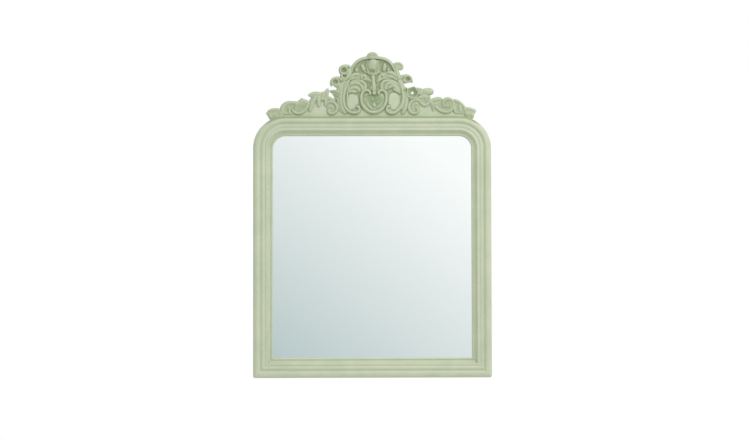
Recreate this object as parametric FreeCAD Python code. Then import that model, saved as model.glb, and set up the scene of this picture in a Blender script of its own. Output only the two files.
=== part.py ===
import FreeCAD, Part
import math
import os

# A painted wall mirror with rounded shoulders and a carved crest, in millimetres.
# +X is to the right of someone who looks into it, +Y goes into the wall and +Z goes up.
# The origin lies on the wall, midway between the two points that the mirror hangs from.

# Frame
frame_width = 875.0
frame_height = 960.0
rail_width = 72.0
rail_depth = 34.0
corner_radius = 118.0
foot_corner_radius = 8.0
hang_drop = 180.0
wall_gap = 8.0

# Glass and its back
rebate_width = 10.0
glass_thickness = 4.0
cushion_thickness = 2.0
cushion_width = 8.0
back_thickness = 3.0
pane_clearance = 1.5

# Joints inside the frame: loose tenons, cut in proportion to the rail that they join
tenon_thickness = 6.0
tenon_width_share = 5 / 12
tenon_length_share = 11 / 18
mitre_angle = 45.0
square_angle = 90.0

# Crest: its end shells stop this far inside the frame's sides
crest_end_inset = 50.0
crest_height = 238.6
board_thickness = 14.0
ground_thickness = 4.0
low_relief = 8.0
middle_relief = 13.0
high_relief = 19.0
arch_relief = 24.0
band_width = 12.0
slim_band_width = 8.5
rib_width = 6.0
vein_width = 5.0
egg_relief = 26.0
egg_lip_width = 4.5
egg_lip_height = 7.0
oval_relief = 5.0
flower_hole_radius = 5.0
crest_tenon_spacing = 220.0

# Steel plates across the crest joint
plate_width = 20.0
plate_length = 80.0
plate_thickness = 2.0
plate_spacing = 200.0
plate_screw_inset = 14.0

# Screws
screw_head_radius = 3.6
screw_head_height = 2.0
screw_shank_radius = 1.8
screw_length = 11.0

# Ring hangers
hanger_inset = 31.0
strap_width = 16.0
strap_length = 46.0
strap_thickness = 1.5
strap_screw_spacing = 22.0
strap_screw_inset = 9.0
ring_wire_radius = 1.5
ring_inner_width = 22.0
ring_straight = 8.0
ring_axis_height = 4.0
knuckle_width = 15.0
knuckle_wall = 1.2
knuckle_clearance = 0.3

# Turn buttons
button_length = 30.0
button_width = 11.0
button_thickness = 1.6
button_overlap = 12.0
button_hole_clearance = 0.5
button_seat_gap = 0.2
button_side_spacing = 360.0
button_end_spacing = 200.0

# Felt pads at the foot
pad_radius = 11.0
pad_inset = 34.0

# How many flats stand for a curve: round a screw, its hole or a wire, round a dome or a pad,
# along each stretch of a scroll between two of its marked places, round a half circle and
# round a shoulder of the frame
screw_sides = 8
dome_sides = 20
scroll_steps = 2
bend_steps = 10
shoulder_steps = 16

# How far a cutting tool reaches past the piece that it cuts, and how flat a flat is
overrun = 5.0
flatness = 0.000001

FRONT = FreeCAD.Vector(0, -1, 0)
RIGHT = FreeCAD.Vector(1, 0, 0)
UP = FreeCAD.Vector(0, 0, 1)
ORIGIN = FreeCAD.Vector(0, 0, 0)

half_width = frame_width / 2
crest_half_width = half_width - crest_end_inset
frame_top = hang_drop
frame_bottom = frame_top - frame_height
back_y = -wall_gap
pane_inset = rail_width - rebate_width + pane_clearance
rebate_depth = back_thickness + cushion_thickness + glass_thickness
tenon_width = rail_width * tenon_width_share
tenon_length = rail_width * tenon_length_share

# The moulding, from the outer back edge inwards: shares of the rail's width and depth.
# It is a quarter round into a torus, a narrow groove, two soft reeds, a cove and a lip.
moulding_start_share = (0.0, 0.54)
# Each arc has its middle, its end and the number of flats that are cut for it.
moulding_arc_shares = [
    ((0.055, 0.86), (0.21, 1.0), 3),
    ((0.31, 0.95), (0.365, 0.80), 3),
    ((0.39, 0.765), (0.42, 0.81), 2),
    ((0.50, 0.895), (0.575, 0.855), 2),
    ((0.61, 0.84), (0.645, 0.86), 1),
    ((0.68, 0.875), (0.72, 0.85), 2),
    ((0.77, 0.60), (0.90, 0.49), 3),
    ((0.945, 0.555), (0.985, 0.50), 2),
]
moulding_end_share = (1.0, 0.46)

# The crest's outlines and lines: shares of its half width, from the frame's centre line,
# and of its height, from the frame's top edge.
board_shares = [
    (-0.963, -0.09), (-0.99, 0.054), (-0.959, 0.10), (-0.893, 0.103), (-0.836, 0.183), (-0.779, 0.217),
    (-0.656, 0.225), (-0.589, 0.217), (-0.556, 0.325), (-0.475, 0.36), (-0.428, 0.37), (-0.415, 0.27),
    (-0.352, 0.24), (-0.318, 0.294), (-0.312, 0.378), (-0.361, 0.384), (-0.318, 0.42), (-0.322, 0.47),
    (-0.377, 0.488), (-0.361, 0.565), (-0.324, 0.584), (-0.287, 0.556), (-0.295, 0.71), (-0.267, 0.76),
    (-0.212, 0.732), (-0.176, 0.815), (-0.128, 0.871), (-0.067, 0.911), (0.0, 0.925), (0.067, 0.911),
    (0.12, 0.889), (0.17, 0.834), (0.202, 0.766), (0.251, 0.794), (0.236, 0.70), (0.242, 0.612),
    (0.263, 0.572), (0.327, 0.612), (0.354, 0.547), (0.301, 0.535), (0.303, 0.42), (0.341, 0.402),
    (0.346, 0.285), (0.407, 0.27), (0.449, 0.347), (0.546, 0.362), (0.563, 0.251), (0.616, 0.273),
    (0.707, 0.263), (0.768, 0.245), (0.811, 0.22), (0.859, 0.162), (0.891, 0.128), (0.933, 0.112),
    (0.976, 0.088), (0.952, 0.002), (0.946, -0.09),
]
hood_arch_shares = [
    (-0.213, 0.606), (-0.20, 0.707), (-0.17, 0.797), (-0.129, 0.858), (-0.067, 0.898), (0.004, 0.908),
    (0.075, 0.897), (0.134, 0.86), (0.179, 0.797), (0.212, 0.716), (0.232, 0.615),
]
finial_lobe_shares = [(-0.014, 0.95), (0.028, 0.955)]
finial_radius_share = 0.0555
egg_centre_share = (0.011, 0.763)
egg_radius_shares = (0.07, 0.117)
left_petal_shares = [
    [(-0.067, 0.664), (-0.079, 0.718), (-0.10, 0.794)],
    [(-0.067, 0.661), (-0.11, 0.692), (-0.153, 0.747)],
]
right_petal_shares = [
    [(0.10, 0.664), (0.113, 0.71), (0.121, 0.79)],
    [(0.102, 0.661), (0.137, 0.689), (0.166, 0.747)],
]
left_hood_leaf_shares = [
    (-0.196, 0.565), (-0.191, 0.618), (-0.153, 0.649), (-0.105, 0.661), (-0.075, 0.636), (-0.054, 0.578),
    (-0.105, 0.569), (-0.153, 0.572),
]
left_hood_vein_shares = [(-0.186, 0.588), (-0.14, 0.622), (-0.082, 0.63)]
right_hood_leaf_shares = [
    (0.24, 0.556), (0.231, 0.627), (0.185, 0.67), (0.138, 0.664), (0.10, 0.636), (0.081, 0.59),
    (0.132, 0.587), (0.185, 0.572),
]
right_hood_vein_shares = [(0.228, 0.585), (0.176, 0.635), (0.108, 0.628)]
stem_shares = [(0.02, 0.627), (0.02, 0.495), (0.02, 0.381)]
left_heart_shares = [
    (-0.029, 0.331), (-0.026, 0.368), (-0.05, 0.39), (-0.083, 0.371), (-0.102, 0.307), (-0.103, 0.227),
    (-0.084, 0.153), (-0.045, 0.089), (0.018, 0.051),
]
right_heart_shares = [
    (0.069, 0.331), (0.065, 0.368), (0.09, 0.39), (0.122, 0.371), (0.141, 0.307), (0.141, 0.227),
    (0.122, 0.153), (0.083, 0.089), (0.018, 0.051),
]
heart_leaf_shares = [
    (0.018, 0.095), (-0.024, 0.135), (-0.052, 0.193), (-0.058, 0.254), (-0.033, 0.268), (-0.005, 0.233),
    (0.018, 0.193), (0.041, 0.233), (0.067, 0.268), (0.094, 0.254), (0.088, 0.193), (0.062, 0.135),
]
heart_vein_shares = [
    [(-0.046, 0.245), (-0.02, 0.175), (0.012, 0.118)],
    [(0.082, 0.245), (0.056, 0.175), (0.024, 0.118)],
]
left_frond_shares = [
    (-0.075, 0.378), (-0.081, 0.461), (-0.115, 0.522), (-0.157, 0.541), (-0.21, 0.529), (-0.234, 0.433),
    (-0.236, 0.372), (-0.205, 0.365), (-0.162, 0.337), (-0.115, 0.341),
]
left_frond_rib_shares = [
    [(-0.086, 0.387), (-0.091, 0.456), (-0.12, 0.507), (-0.157, 0.525), (-0.206, 0.513)],
    [(-0.098, 0.379), (-0.107, 0.441), (-0.136, 0.476), (-0.172, 0.482), (-0.215, 0.456)],
    [(-0.113, 0.367), (-0.126, 0.411), (-0.153, 0.435), (-0.183, 0.436), (-0.223, 0.405)],
    [(-0.131, 0.353), (-0.15, 0.378), (-0.176, 0.387), (-0.205, 0.382), (-0.228, 0.372)],
]
right_frond_shares = [
    (0.11, 0.395), (0.09, 0.464), (0.122, 0.538), (0.179, 0.562), (0.234, 0.535), (0.276, 0.448),
    (0.28, 0.39), (0.236, 0.352), (0.179, 0.365), (0.145, 0.36),
]
right_frond_rib_shares = [
    [(0.112, 0.402), (0.102, 0.464), (0.129, 0.525), (0.179, 0.547), (0.231, 0.518), (0.262, 0.448)],
    [(0.128, 0.385), (0.128, 0.441), (0.153, 0.485), (0.192, 0.498), (0.231, 0.467), (0.266, 0.402)],
    [(0.145, 0.375), (0.153, 0.419), (0.178, 0.445), (0.211, 0.439), (0.247, 0.39)],
    [(0.162, 0.372), (0.176, 0.393), (0.201, 0.399), (0.232, 0.365)],
]
left_scroll_shares = [
    (-0.222, 0.56), (-0.237, 0.475), (-0.255, 0.379), (-0.267, 0.279), (-0.264, 0.19), (-0.242, 0.112),
    (-0.204, 0.063), (-0.162, 0.052), (-0.128, 0.085), (-0.121, 0.131), (-0.139, 0.159),
]
right_scroll_shares = [
    (0.252, 0.55), (0.27, 0.48), (0.287, 0.394), (0.298, 0.294), (0.293, 0.194), (0.265, 0.109),
    (0.221, 0.054), (0.175, 0.048), (0.143, 0.085), (0.140, 0.137), (0.157, 0.165),
]
left_oval_centre_share = (-0.19, 0.22)
right_oval_centre_share = (0.21, 0.225)
oval_radius_shares = (0.046, 0.098)
left_stem_shares = [
    (-0.262, 0.045), (-0.295, 0.151), (-0.303, 0.248), (-0.299, 0.341), (-0.289, 0.424), (-0.28, 0.492),
    (-0.262, 0.552),
]
# Each curl starts or ends on a marked place of its stem, so that they stay together.
left_curl_shares = [
    [(-0.24, 0.70), (-0.246, 0.758), (-0.272, 0.778), (-0.302, 0.744), (-0.307, 0.686), (-0.293, 0.633),
     left_stem_shares[6], left_stem_shares[5]],
    [left_stem_shares[5], (-0.312, 0.585), (-0.352, 0.595), (-0.382, 0.559), (-0.39, 0.504), (-0.375, 0.464)],
    [left_stem_shares[3], (-0.324, 0.393), (-0.361, 0.393), (-0.394, 0.371)],
]
right_stem_shares = [
    (0.284, 0.57), (0.298, 0.479), (0.316, 0.394), (0.326, 0.294), (0.326, 0.202), (0.314, 0.116),
    (0.285, 0.05),
]
right_curl_shares = [
    [right_stem_shares[0], (0.236, 0.70), (0.236, 0.785), (0.258, 0.815), (0.28, 0.794), (0.282, 0.747),
     (0.261, 0.723)],
    [right_stem_shares[0], (0.296, 0.612), (0.329, 0.63), (0.363, 0.596), (0.375, 0.522)],
]
flower_centre_share = (0.382, 0.361)
flower_radius_share = 0.053
bud_shares = [
    (0.43, 0.40), (0.47, 0.411), (0.521, 0.427), (0.563, 0.424), (0.583, 0.387), (0.563, 0.337),
    (0.521, 0.325), (0.472, 0.334), (0.43, 0.325),
]
bud_vein_shares = [(0.45, 0.366), (0.51, 0.378), (0.562, 0.384)]
left_small_scroll_shares = [
    (-0.40, 0.235), (-0.371, 0.22), (-0.339, 0.163), (-0.337, 0.094), (-0.366, 0.045), (-0.404, 0.045),
    (-0.425, 0.08), (-0.418, 0.115), (-0.396, 0.115),
]
right_small_scroll_shares = [
    (0.43, 0.262), (0.392, 0.243), (0.367, 0.205), (0.362, 0.133), (0.378, 0.073), (0.407, 0.05),
    (0.437, 0.072), (0.441, 0.119), (0.42, 0.131),
]
left_wing_leaf_shares = [
    (-0.597, 0.319), (-0.551, 0.378), (-0.485, 0.378), (-0.447, 0.402), (-0.424, 0.427), (-0.413, 0.364),
    (-0.418, 0.279), (-0.434, 0.233), (-0.429, 0.174), (-0.441, 0.149), (-0.456, 0.179), (-0.47, 0.223),
    (-0.485, 0.194), (-0.50, 0.137), (-0.519, 0.143), (-0.538, 0.202), (-0.557, 0.196), (-0.576, 0.133),
    (-0.593, 0.069), (-0.606, 0.072), (-0.593, 0.171), (-0.576, 0.248), (-0.561, 0.288),
]
left_wing_vein_shares = [
    [(-0.422, 0.33), (-0.50, 0.338), (-0.582, 0.322)],
    [(-0.447, 0.30), (-0.439, 0.172)],
    [(-0.50, 0.32), (-0.508, 0.16)],
    [(-0.545, 0.32), (-0.575, 0.202), (-0.597, 0.09)],
]
right_wing_leaf_shares = [
    (0.444, 0.287), (0.483, 0.316), (0.525, 0.319), (0.553, 0.273), (0.576, 0.233), (0.595, 0.171),
    (0.589, 0.082), (0.574, 0.085), (0.565, 0.156), (0.546, 0.202), (0.527, 0.208), (0.515, 0.171),
    (0.498, 0.165), (0.481, 0.196), (0.458, 0.227), (0.426, 0.257),
]
right_wing_vein_shares = [
    [(0.454, 0.285), (0.511, 0.271), (0.559, 0.202), (0.582, 0.098)],
    [(0.488, 0.28), (0.502, 0.18)],
]
left_spiral_shares = [
    (-0.614, 0.18), (-0.629, 0.122), (-0.669, 0.062), (-0.716, 0.048), (-0.752, 0.082), (-0.757, 0.137),
    (-0.738, 0.18), (-0.709, 0.177), (-0.697, 0.134), (-0.713, 0.106),
]
left_spiral_leaf_shares = [
    (-0.715, 0.185), (-0.692, 0.245), (-0.669, 0.28), (-0.646, 0.257), (-0.612, 0.233), (-0.60, 0.222),
    (-0.608, 0.162), (-0.637, 0.17), (-0.675, 0.17),
]
right_spiral_shares = [
    (0.602, 0.195), (0.628, 0.128), (0.69, 0.079), (0.745, 0.112), (0.765, 0.186), (0.75, 0.247),
    (0.713, 0.268), (0.678, 0.236), (0.676, 0.182), (0.697, 0.149),
]
right_spiral_leaf_shares = [
    (0.598, 0.25), (0.621, 0.288), (0.65, 0.279), (0.667, 0.245), (0.64, 0.185), (0.605, 0.16), (0.60, 0.20),
]
left_flute_shares = [
    (-0.876, 0.134), (-0.845, 0.19), (-0.812, 0.22), (-0.779, 0.23), (-0.756, 0.228), (-0.768, 0.18),
    (-0.773, 0.14), (-0.775, 0.042), (-0.868, 0.03),
]
left_flute_rib_shares = [
    [(-0.861, 0.125), (-0.857, 0.052)],
    [(-0.789, 0.205), (-0.789, 0.063)],
    [(-0.828, 0.19), (-0.823, 0.06)],
]
right_flute_shares = [
    (0.785, 0.245), (0.815, 0.234), (0.853, 0.188), (0.881, 0.153), (0.885, 0.094), (0.885, 0.026),
    (0.811, 0.026), (0.79, 0.086), (0.794, 0.179),
]
right_flute_rib_shares = [
    [(0.805, 0.215), (0.811, 0.05)],
    [(0.84, 0.18), (0.843, 0.05)],
    [(0.868, 0.14), (0.872, 0.05)],
]
left_shell_shares = [
    (-1.0, 0.06), (-0.988, 0.097), (-0.959, 0.119), (-0.926, 0.125), (-0.893, 0.119), (-0.882, 0.072),
    (-0.876, 0.0), (-0.876, -0.09), (-0.966, -0.09), (-0.982, -0.005),
]
left_shell_rib_shares = [
    [(-0.925, -0.02), (-0.982, 0.062)],
    [(-0.918, -0.01), (-0.95, 0.09)],
    [(-0.911, -0.01), (-0.917, 0.097)],
    [(-0.904, -0.02), (-0.893, 0.069)],
]
right_shell_shares = [
    (0.893, 0.136), (0.924, 0.131), (0.954, 0.112), (0.986, 0.10), (0.99, 0.08), (0.969, 0.035),
    (0.952, -0.032), (0.946, -0.09), (0.893, -0.09), (0.893, 0.063),
]
right_shell_rib_shares = [
    [(0.921, -0.01), (0.908, 0.10)],
    [(0.924, -0.01), (0.94, 0.09)],
    [(0.927, -0.02), (0.971, 0.076)],
]


def outline(inset):
    """The frame's outline drawn in from its edge: rounded shoulders, nearly square foot corners."""
    left, right = inset - half_width, half_width - inset
    bottom, top = frame_bottom + inset, frame_top - inset
    shoulder = corner_radius - inset
    foot = max(foot_corner_radius - inset, 0)
    bend = math.sqrt(0.5)

    def at(x, z):
        return FreeCAD.Vector(x, back_y, z)

    def corner(cx, cz, radius, start, middle, end):
        places = [at(cx + radius * dx, cz + radius * dz) for dx, dz in (start, middle, end)]
        return Part.Arc(*places).toShape()

    edges = [
        Part.LineSegment(at(left, bottom + foot), at(left, top - shoulder)).toShape(),
        corner(left + shoulder, top - shoulder, shoulder, (-1, 0), (-bend, bend), (0, 1)),
        Part.LineSegment(at(left + shoulder, top), at(right - shoulder, top)).toShape(),
        corner(right - shoulder, top - shoulder, shoulder, (0, 1), (bend, bend), (1, 0)),
        Part.LineSegment(at(right, top - shoulder), at(right, bottom + foot)).toShape(),
    ]
    if foot > 0:
        edges.append(corner(right - foot, bottom + foot, foot, (1, 0), (bend, -bend), (0, -1)))
    edges.append(Part.LineSegment(at(right - foot, bottom), at(left + foot, bottom)).toShape())
    if foot > 0:
        edges.append(corner(left + foot, bottom + foot, foot, (0, -1), (-bend, -bend), (-1, 0)))
    return Part.Wire(edges)


def flat(places):
    """A flat face with its corners at places."""
    return Part.Face(Part.makePolygon(places + places[:1]))


def skin(rings):
    """A closed solid of flats over rings of places, which need as many places each."""
    faces = [flat(rings[0]), flat(rings[-1])]
    for low, high in zip(rings, rings[1:]):
        for number in range(len(low)):
            following = (number + 1) % len(low)
            corners = [low[number], low[following], high[following], high[number]]
            lean = (corners[1] - corners[0]).cross(corners[2] - corners[0])
            if abs(lean.dot(corners[3] - corners[0])) < flatness * lean.Length:
                faces.append(flat(corners))
            else:
                faces += [flat(corners[:3]), flat([corners[0], corners[2], corners[3]])]
    shell = Part.makeShell(faces)
    shell.sewShape()
    body = Part.makeSolid(shell)
    if body.Volume < 0:
        body.reverse()
    return body


def slab(wire, height, thickness):
    """A flat piece: the wire's face, raised off the frame's back and given its thickness."""
    face = Part.Face(wire)
    face.translate(FRONT * height)
    return face.extrude(FRONT * thickness)


def moulding_section(corner, inward):
    """The places round the moulding's section, its outer back edge at corner and its width along inward."""
    def at(across, height):
        return corner + inward * across + FRONT * height

    def at_share(share):
        return at(share[0] * rail_width, share[1] * rail_depth)

    places = [at(0, 0), at_share(moulding_start_share)]
    for middle_share, end_share, flats in moulding_arc_shares:
        arc = Part.Arc(places[-1], at_share(middle_share), at_share(end_share)).toShape()
        places += arc.discretize(flats + 1)[1:]
    inner = rail_width - rebate_width
    places += [at_share(moulding_end_share), at(rail_width, rebate_depth), at(inner, rebate_depth), at(inner, 0)]
    return places


def wedge(points):
    """A three-sided cutter through the frame's whole depth, from places in the plane of the frame."""
    face = flat([FreeCAD.Vector(x, back_y + overrun, z) for x, z in points])
    return face.extrude(FRONT * (rail_depth + overrun + overrun))


def mitre_cutter(side, keep_rail):
    """Takes the half of a foot corner that belongs to the other member away."""
    edge = side * half_width
    inner = edge - side * (rail_width + overrun)
    height = frame_bottom + rail_width + overrun
    third = (edge, height) if keep_rail else (inner, frame_bottom)
    return wedge([(edge, frame_bottom), (inner, height), third])


def stile(side):
    """An upright: the moulding run from the foot mitre to the shoulder."""
    corner = FreeCAD.Vector(side * half_width, back_y, frame_bottom)
    body = flat(moulding_section(corner, RIGHT * -side)).extrude(UP * (frame_height - corner_radius))
    body = body.cut(mitre_cutter(side, False))
    return body.common(slab(outline(0), -overrun, rail_depth + overrun + overrun))


def top_rail():
    """The moulding run between the two shoulders."""
    corner = FreeCAD.Vector(corner_radius - half_width, back_y, frame_top)
    return flat(moulding_section(corner, UP * -1)).extrude(RIGHT * (frame_width - corner_radius * 2))


def bottom_rail():
    """The moulding run between the two foot mitres."""
    corner = FreeCAD.Vector(-half_width, back_y, frame_bottom)
    body = flat(moulding_section(corner, UP)).extrude(RIGHT * frame_width)
    for side in (-1, 1):
        body = body.cut(mitre_cutter(side, True))
    return body.common(slab(outline(0), -overrun, rail_depth + overrun + overrun))


def corner_block(side):
    """A shoulder: the moulding turned through a quarter circle."""
    centre = FreeCAD.Vector(side * (half_width - corner_radius), back_y, frame_top - corner_radius)
    rings = []
    for step in range(shoulder_steps + 1):
        turn = math.pi / 2 * step / shoulder_steps
        outward = RIGHT * (side * math.cos(turn)) + UP * math.sin(turn)
        rings.append(moulding_section(centre + outward * corner_radius, outward * -1))
    return skin(rings)


def turned(start, direction, radii, length, sides=dome_sides):
    """A round pin, taper or cutter with flats, from its first radius to its last."""
    across = UP.cross(direction) if abs(direction.z) < 1 else RIGHT
    other = direction.cross(across)
    rings = []
    for centre, radius in zip((start, start + direction * length), radii):
        turns = [math.tau * (number + 0.5) / sides for number in range(sides)]
        places = [centre + other * (radius * math.cos(turn)) + across * (radius * math.sin(turn)) for turn in turns]
        rings.append(places)
    return skin(rings)


def tenon(place, turn):
    """A loose flat tenon round place, its length turned away from upright in the plane of the frame."""
    corner = FreeCAD.Vector(-tenon_width / 2, -tenon_thickness / 2, -tenon_length / 2)
    body = Part.makeBox(tenon_width, tenon_thickness, tenon_length, corner)
    body.rotate(ORIGIN, FRONT, turn)
    body.translate(place)
    return body


def rail_tenons():
    """A tenon in each joint between a shoulder block and its neighbours."""
    middle = (rail_width - rebate_width) / 2
    depth = back_y - board_thickness / 2
    tenons = []
    for side in (-1, 1):
        upright = FreeCAD.Vector(side * (half_width - middle), depth, frame_top - corner_radius)
        level = FreeCAD.Vector(side * (half_width - corner_radius), depth, frame_top - middle)
        tenons += [tenon(upright, 0), tenon(level, square_angle)]
    return tenons


def mitre_tenons():
    """A tenon square across each foot mitre."""
    reach = (rail_width - rebate_width) / 2
    depth = back_y - board_thickness / 2
    return [tenon(FreeCAD.Vector(side * (half_width - reach), depth, frame_bottom + reach), side * mitre_angle)
            for side in (-1, 1)]


def cushion_strips():
    """Soft strips round the rebate between the glass and the back."""
    outer = slab(outline(pane_inset), back_thickness, cushion_thickness)
    inner = slab(outline(pane_inset + cushion_width), back_thickness, cushion_thickness)
    return outer.cut(inner)


def crest_place(share, height):
    """A place on the crest, from its shares and its height above the frame's back."""
    return FreeCAD.Vector(share[0] * crest_half_width, back_y - height, frame_top + share[1] * crest_height)


def plate(shares, height, thickness):
    """A flat sawn piece of the crest from its outline."""
    return flat([crest_place(share, height) for share in shares]).extrude(FRONT * thickness)


# The crown of a carved band or rib, as a share of its width at the ground.
band_crown_share = 0.42


def offset_lines(shares, height, widths, steps):
    """Both sides of a band that follows the shares, with its width going from start to middle to end."""
    spine = Part.BSplineCurve()
    spine.interpolate([crest_place(share, height) for share in shares])
    start, middle, end = widths
    left, right = [], []
    for step in range(steps + 1):
        part = step / steps
        knot = spine.FirstParameter + part * (spine.LastParameter - spine.FirstParameter)
        along = spine.tangent(knot)[0]
        across = along.cross(FRONT)
        width = start + (middle - start) * part * 2 if part < 0.5 else middle + (end - middle) * (part * 2 - 1)
        place = spine.value(knot)
        left.append(place + across * (width / 2))
        right.append(place - across * (width / 2))
    return left, right


def band(shares, base, relief, widths, steps=0):
    """A carved band: wide at its base, narrow at its crown, tapered from start to end."""
    steps = steps or (len(shares) - 1) * scroll_steps
    rings = []
    for height, scale in ((base, 1), (base + relief, band_crown_share)):
        left, right = offset_lines(shares, height, [width * scale for width in widths], steps)
        rings.append(left + right[::-1])
    return skin(rings)


def rib(shares, base, relief, widths):
    """A slim rib: a band cut in longer flats."""
    return band(shares, base, relief, widths, len(shares))


def dome(centre_share, radii, base, relief, layer_shares):
    """A low oval dome: rings that shrink as they rise."""
    rings = []
    for size_share, rise_share in layer_shares:
        centre = crest_place(centre_share, base + relief * rise_share)
        turns = [math.tau * number / dome_sides for number in range(dome_sides)]
        places = [centre + RIGHT * (radii[0] * size_share * math.cos(turn))
                  + UP * (radii[1] * size_share * math.sin(turn)) for turn in turns]
        rings.append(places)
    return skin(rings)


def fuse(pieces):
    """One solid of touching pieces."""
    body = pieces[0]
    if len(pieces) > 1:
        body = body.multiFuse(pieces[1:])
    return body


def leaf(outline_shares, vein_lines, relief, vein=vein_width):
    """A leaf: a flat ground with a raised rib along each vein."""
    ground = plate(outline_shares, board_thickness, ground_thickness)
    veins = [rib(line, board_thickness, relief, (vein, vein, vein / 2)) for line in vein_lines]
    return fuse([ground] + veins)


def hood_arch():
    """The hood over the egg, a broad arch with tapered feet."""
    return band(hood_arch_shares, board_thickness, arch_relief, (slim_band_width, band_width, slim_band_width))


def finial_bud():
    """Two round lobes on top of the hood."""
    radius = finial_radius_share * crest_half_width / 2
    lobes = [dome(share, (radius, radius), board_thickness / 2, arch_relief,
                  [(1, 0), (0.7, 1)]) for share in finial_lobe_shares]
    return fuse(lobes)


def egg_cabochon():
    """An egg-shaped boss in a low lip."""
    radii = (egg_radius_shares[0] * crest_half_width, egg_radius_shares[1] * crest_height)
    inner = (radii[0] - egg_lip_width, radii[1] - egg_lip_width)
    lip = dome(egg_centre_share, radii, board_thickness, egg_lip_height, [(1, 0), (0.94, 1)])
    egg = dome(egg_centre_share, inner, board_thickness, egg_relief, [(1, 0), (0.84, 0.66), (0.4, 1)])
    return fuse([lip, egg])


def petals(lines):
    """Two slanting petals that spring from one foot."""
    return fuse([rib(line, board_thickness, low_relief, (rib_width, rib_width, vein_width)) for line in lines])


def centre_stem():
    """The upright stem under the egg, with a bead at its foot."""
    foot = stem_shares[-1]
    stem = band(stem_shares, board_thickness, middle_relief, (slim_band_width, slim_band_width, slim_band_width))
    bead = dome(foot, (rib_width, rib_width), board_thickness, middle_relief, [(1, 0), (0.6, 1)])
    return fuse([stem, bead])


def heart_scroll():
    """Two scrolls that meet in a point under the stem."""
    widths = (slim_band_width * 0.7, slim_band_width, slim_band_width)
    return fuse([band(line, board_thickness, high_relief, widths) for line in (left_heart_shares, right_heart_shares)])


def frond(ground_shares, ribs):
    """A fan of curved ribs on a low ground."""
    ground = plate(ground_shares, board_thickness, ground_thickness)
    widths = (rib_width, rib_width, vein_width)
    return fuse([ground] + [rib(line, board_thickness, middle_relief, widths) for line in ribs])


def side_scroll(line):
    """A large scroll, broad at the top and rolled in at the foot."""
    return band(line, board_thickness, high_relief, (slim_band_width, slim_band_width, slim_band_width * 0.8))


def oval_boss(centre_share):
    """The plain oval field inside a side scroll, slightly raised."""
    radii = (oval_radius_shares[0] * crest_half_width, oval_radius_shares[1] * crest_height)
    return dome(centre_share, radii, board_thickness, oval_relief, [(1, 0), (0.6, 1)])


def leaf_curls(stem_line, curl_lines):
    """The broad outer stem with the leaves that curl off it."""
    stem = band(stem_line, board_thickness, middle_relief, (slim_band_width, band_width, slim_band_width))
    curls = [band(line, board_thickness, high_relief, (slim_band_width, band_width, slim_band_width))
             for line in curl_lines]
    return fuse([stem] + curls)


def trumpet_flower():
    """An open flower seen from the front, with a bud beside it."""
    radius = flower_radius_share * crest_half_width
    bell = dome(flower_centre_share, (radius, radius), board_thickness, high_relief, [(1, 0), (0.85, 1)])
    start = crest_place(flower_centre_share, board_thickness - overrun)
    hole = turned(start, FRONT, (flower_hole_radius, flower_hole_radius), high_relief + overrun + overrun)
    cup = turned(crest_place(flower_centre_share, board_thickness + high_relief / 2), FRONT,
                 (flower_hole_radius, radius * 0.75), high_relief / 2 + overrun / 2)
    bud = leaf(bud_shares, [bud_vein_shares], middle_relief, band_width)
    return fuse([bell, bud]).cut(hole).cut(cup)


def small_scroll(line):
    """A rolled scroll at the foot of the crest."""
    return band(line, board_thickness, middle_relief, (slim_band_width, slim_band_width, slim_band_width * 0.7))


def wing_spiral(line, leaf_shares):
    """A spiral with a leaf that grows out of its back."""
    spiral = band(line, board_thickness, middle_relief, (slim_band_width, slim_band_width, slim_band_width * 0.6))
    return fuse([spiral, plate(leaf_shares, board_thickness, low_relief)])


def crest_pieces():
    """The carvings by name, in the order in which a later one is cut back to fit an earlier one."""
    return [
        ("hood_arch", hood_arch()),
        ("finial_bud", finial_bud()),
        ("egg_cabochon", egg_cabochon()),
        ("left_hood_petals", petals(left_petal_shares)),
        ("right_hood_petals", petals(right_petal_shares)),
        ("centre_stem", centre_stem()),
        ("heart_scroll", heart_scroll()),
        ("left_side_scroll", side_scroll(left_scroll_shares)),
        ("right_side_scroll", side_scroll(right_scroll_shares)),
        ("left_leaf_curls", leaf_curls(left_stem_shares, left_curl_shares)),
        ("right_leaf_curls", leaf_curls(right_stem_shares, right_curl_shares)),
        ("right_trumpet_flower", trumpet_flower()),
        ("left_small_scroll", small_scroll(left_small_scroll_shares)),
        ("right_small_scroll", small_scroll(right_small_scroll_shares)),
        ("left_wing_spiral", wing_spiral(left_spiral_shares, left_spiral_leaf_shares)),
        ("right_wing_spiral", wing_spiral(right_spiral_shares, right_spiral_leaf_shares)),
        ("left_hood_leaf", leaf(left_hood_leaf_shares, [left_hood_vein_shares], low_relief)),
        ("right_hood_leaf", leaf(right_hood_leaf_shares, [right_hood_vein_shares], low_relief)),
        ("heart_leaves", leaf(heart_leaf_shares, heart_vein_shares, low_relief)),
        ("left_frond", frond(left_frond_shares, left_frond_rib_shares)),
        ("right_frond", frond(right_frond_shares, right_frond_rib_shares)),
        ("left_oval_boss", oval_boss(left_oval_centre_share)),
        ("right_oval_boss", oval_boss(right_oval_centre_share)),
        ("left_wing_leaf", leaf(left_wing_leaf_shares, left_wing_vein_shares, middle_relief)),
        ("right_wing_leaf", leaf(right_wing_leaf_shares, right_wing_vein_shares, middle_relief)),
        ("left_fluted_leaf", leaf(left_flute_shares, left_flute_rib_shares, low_relief, rib_width)),
        ("right_fluted_leaf", leaf(right_flute_shares, right_flute_rib_shares, low_relief, rib_width)),
        ("left_end_shell", leaf(left_shell_shares, left_shell_rib_shares, low_relief, rib_width)),
        ("right_end_shell", leaf(right_shell_shares, right_shell_rib_shares, low_relief, rib_width)),
    ]


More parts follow.
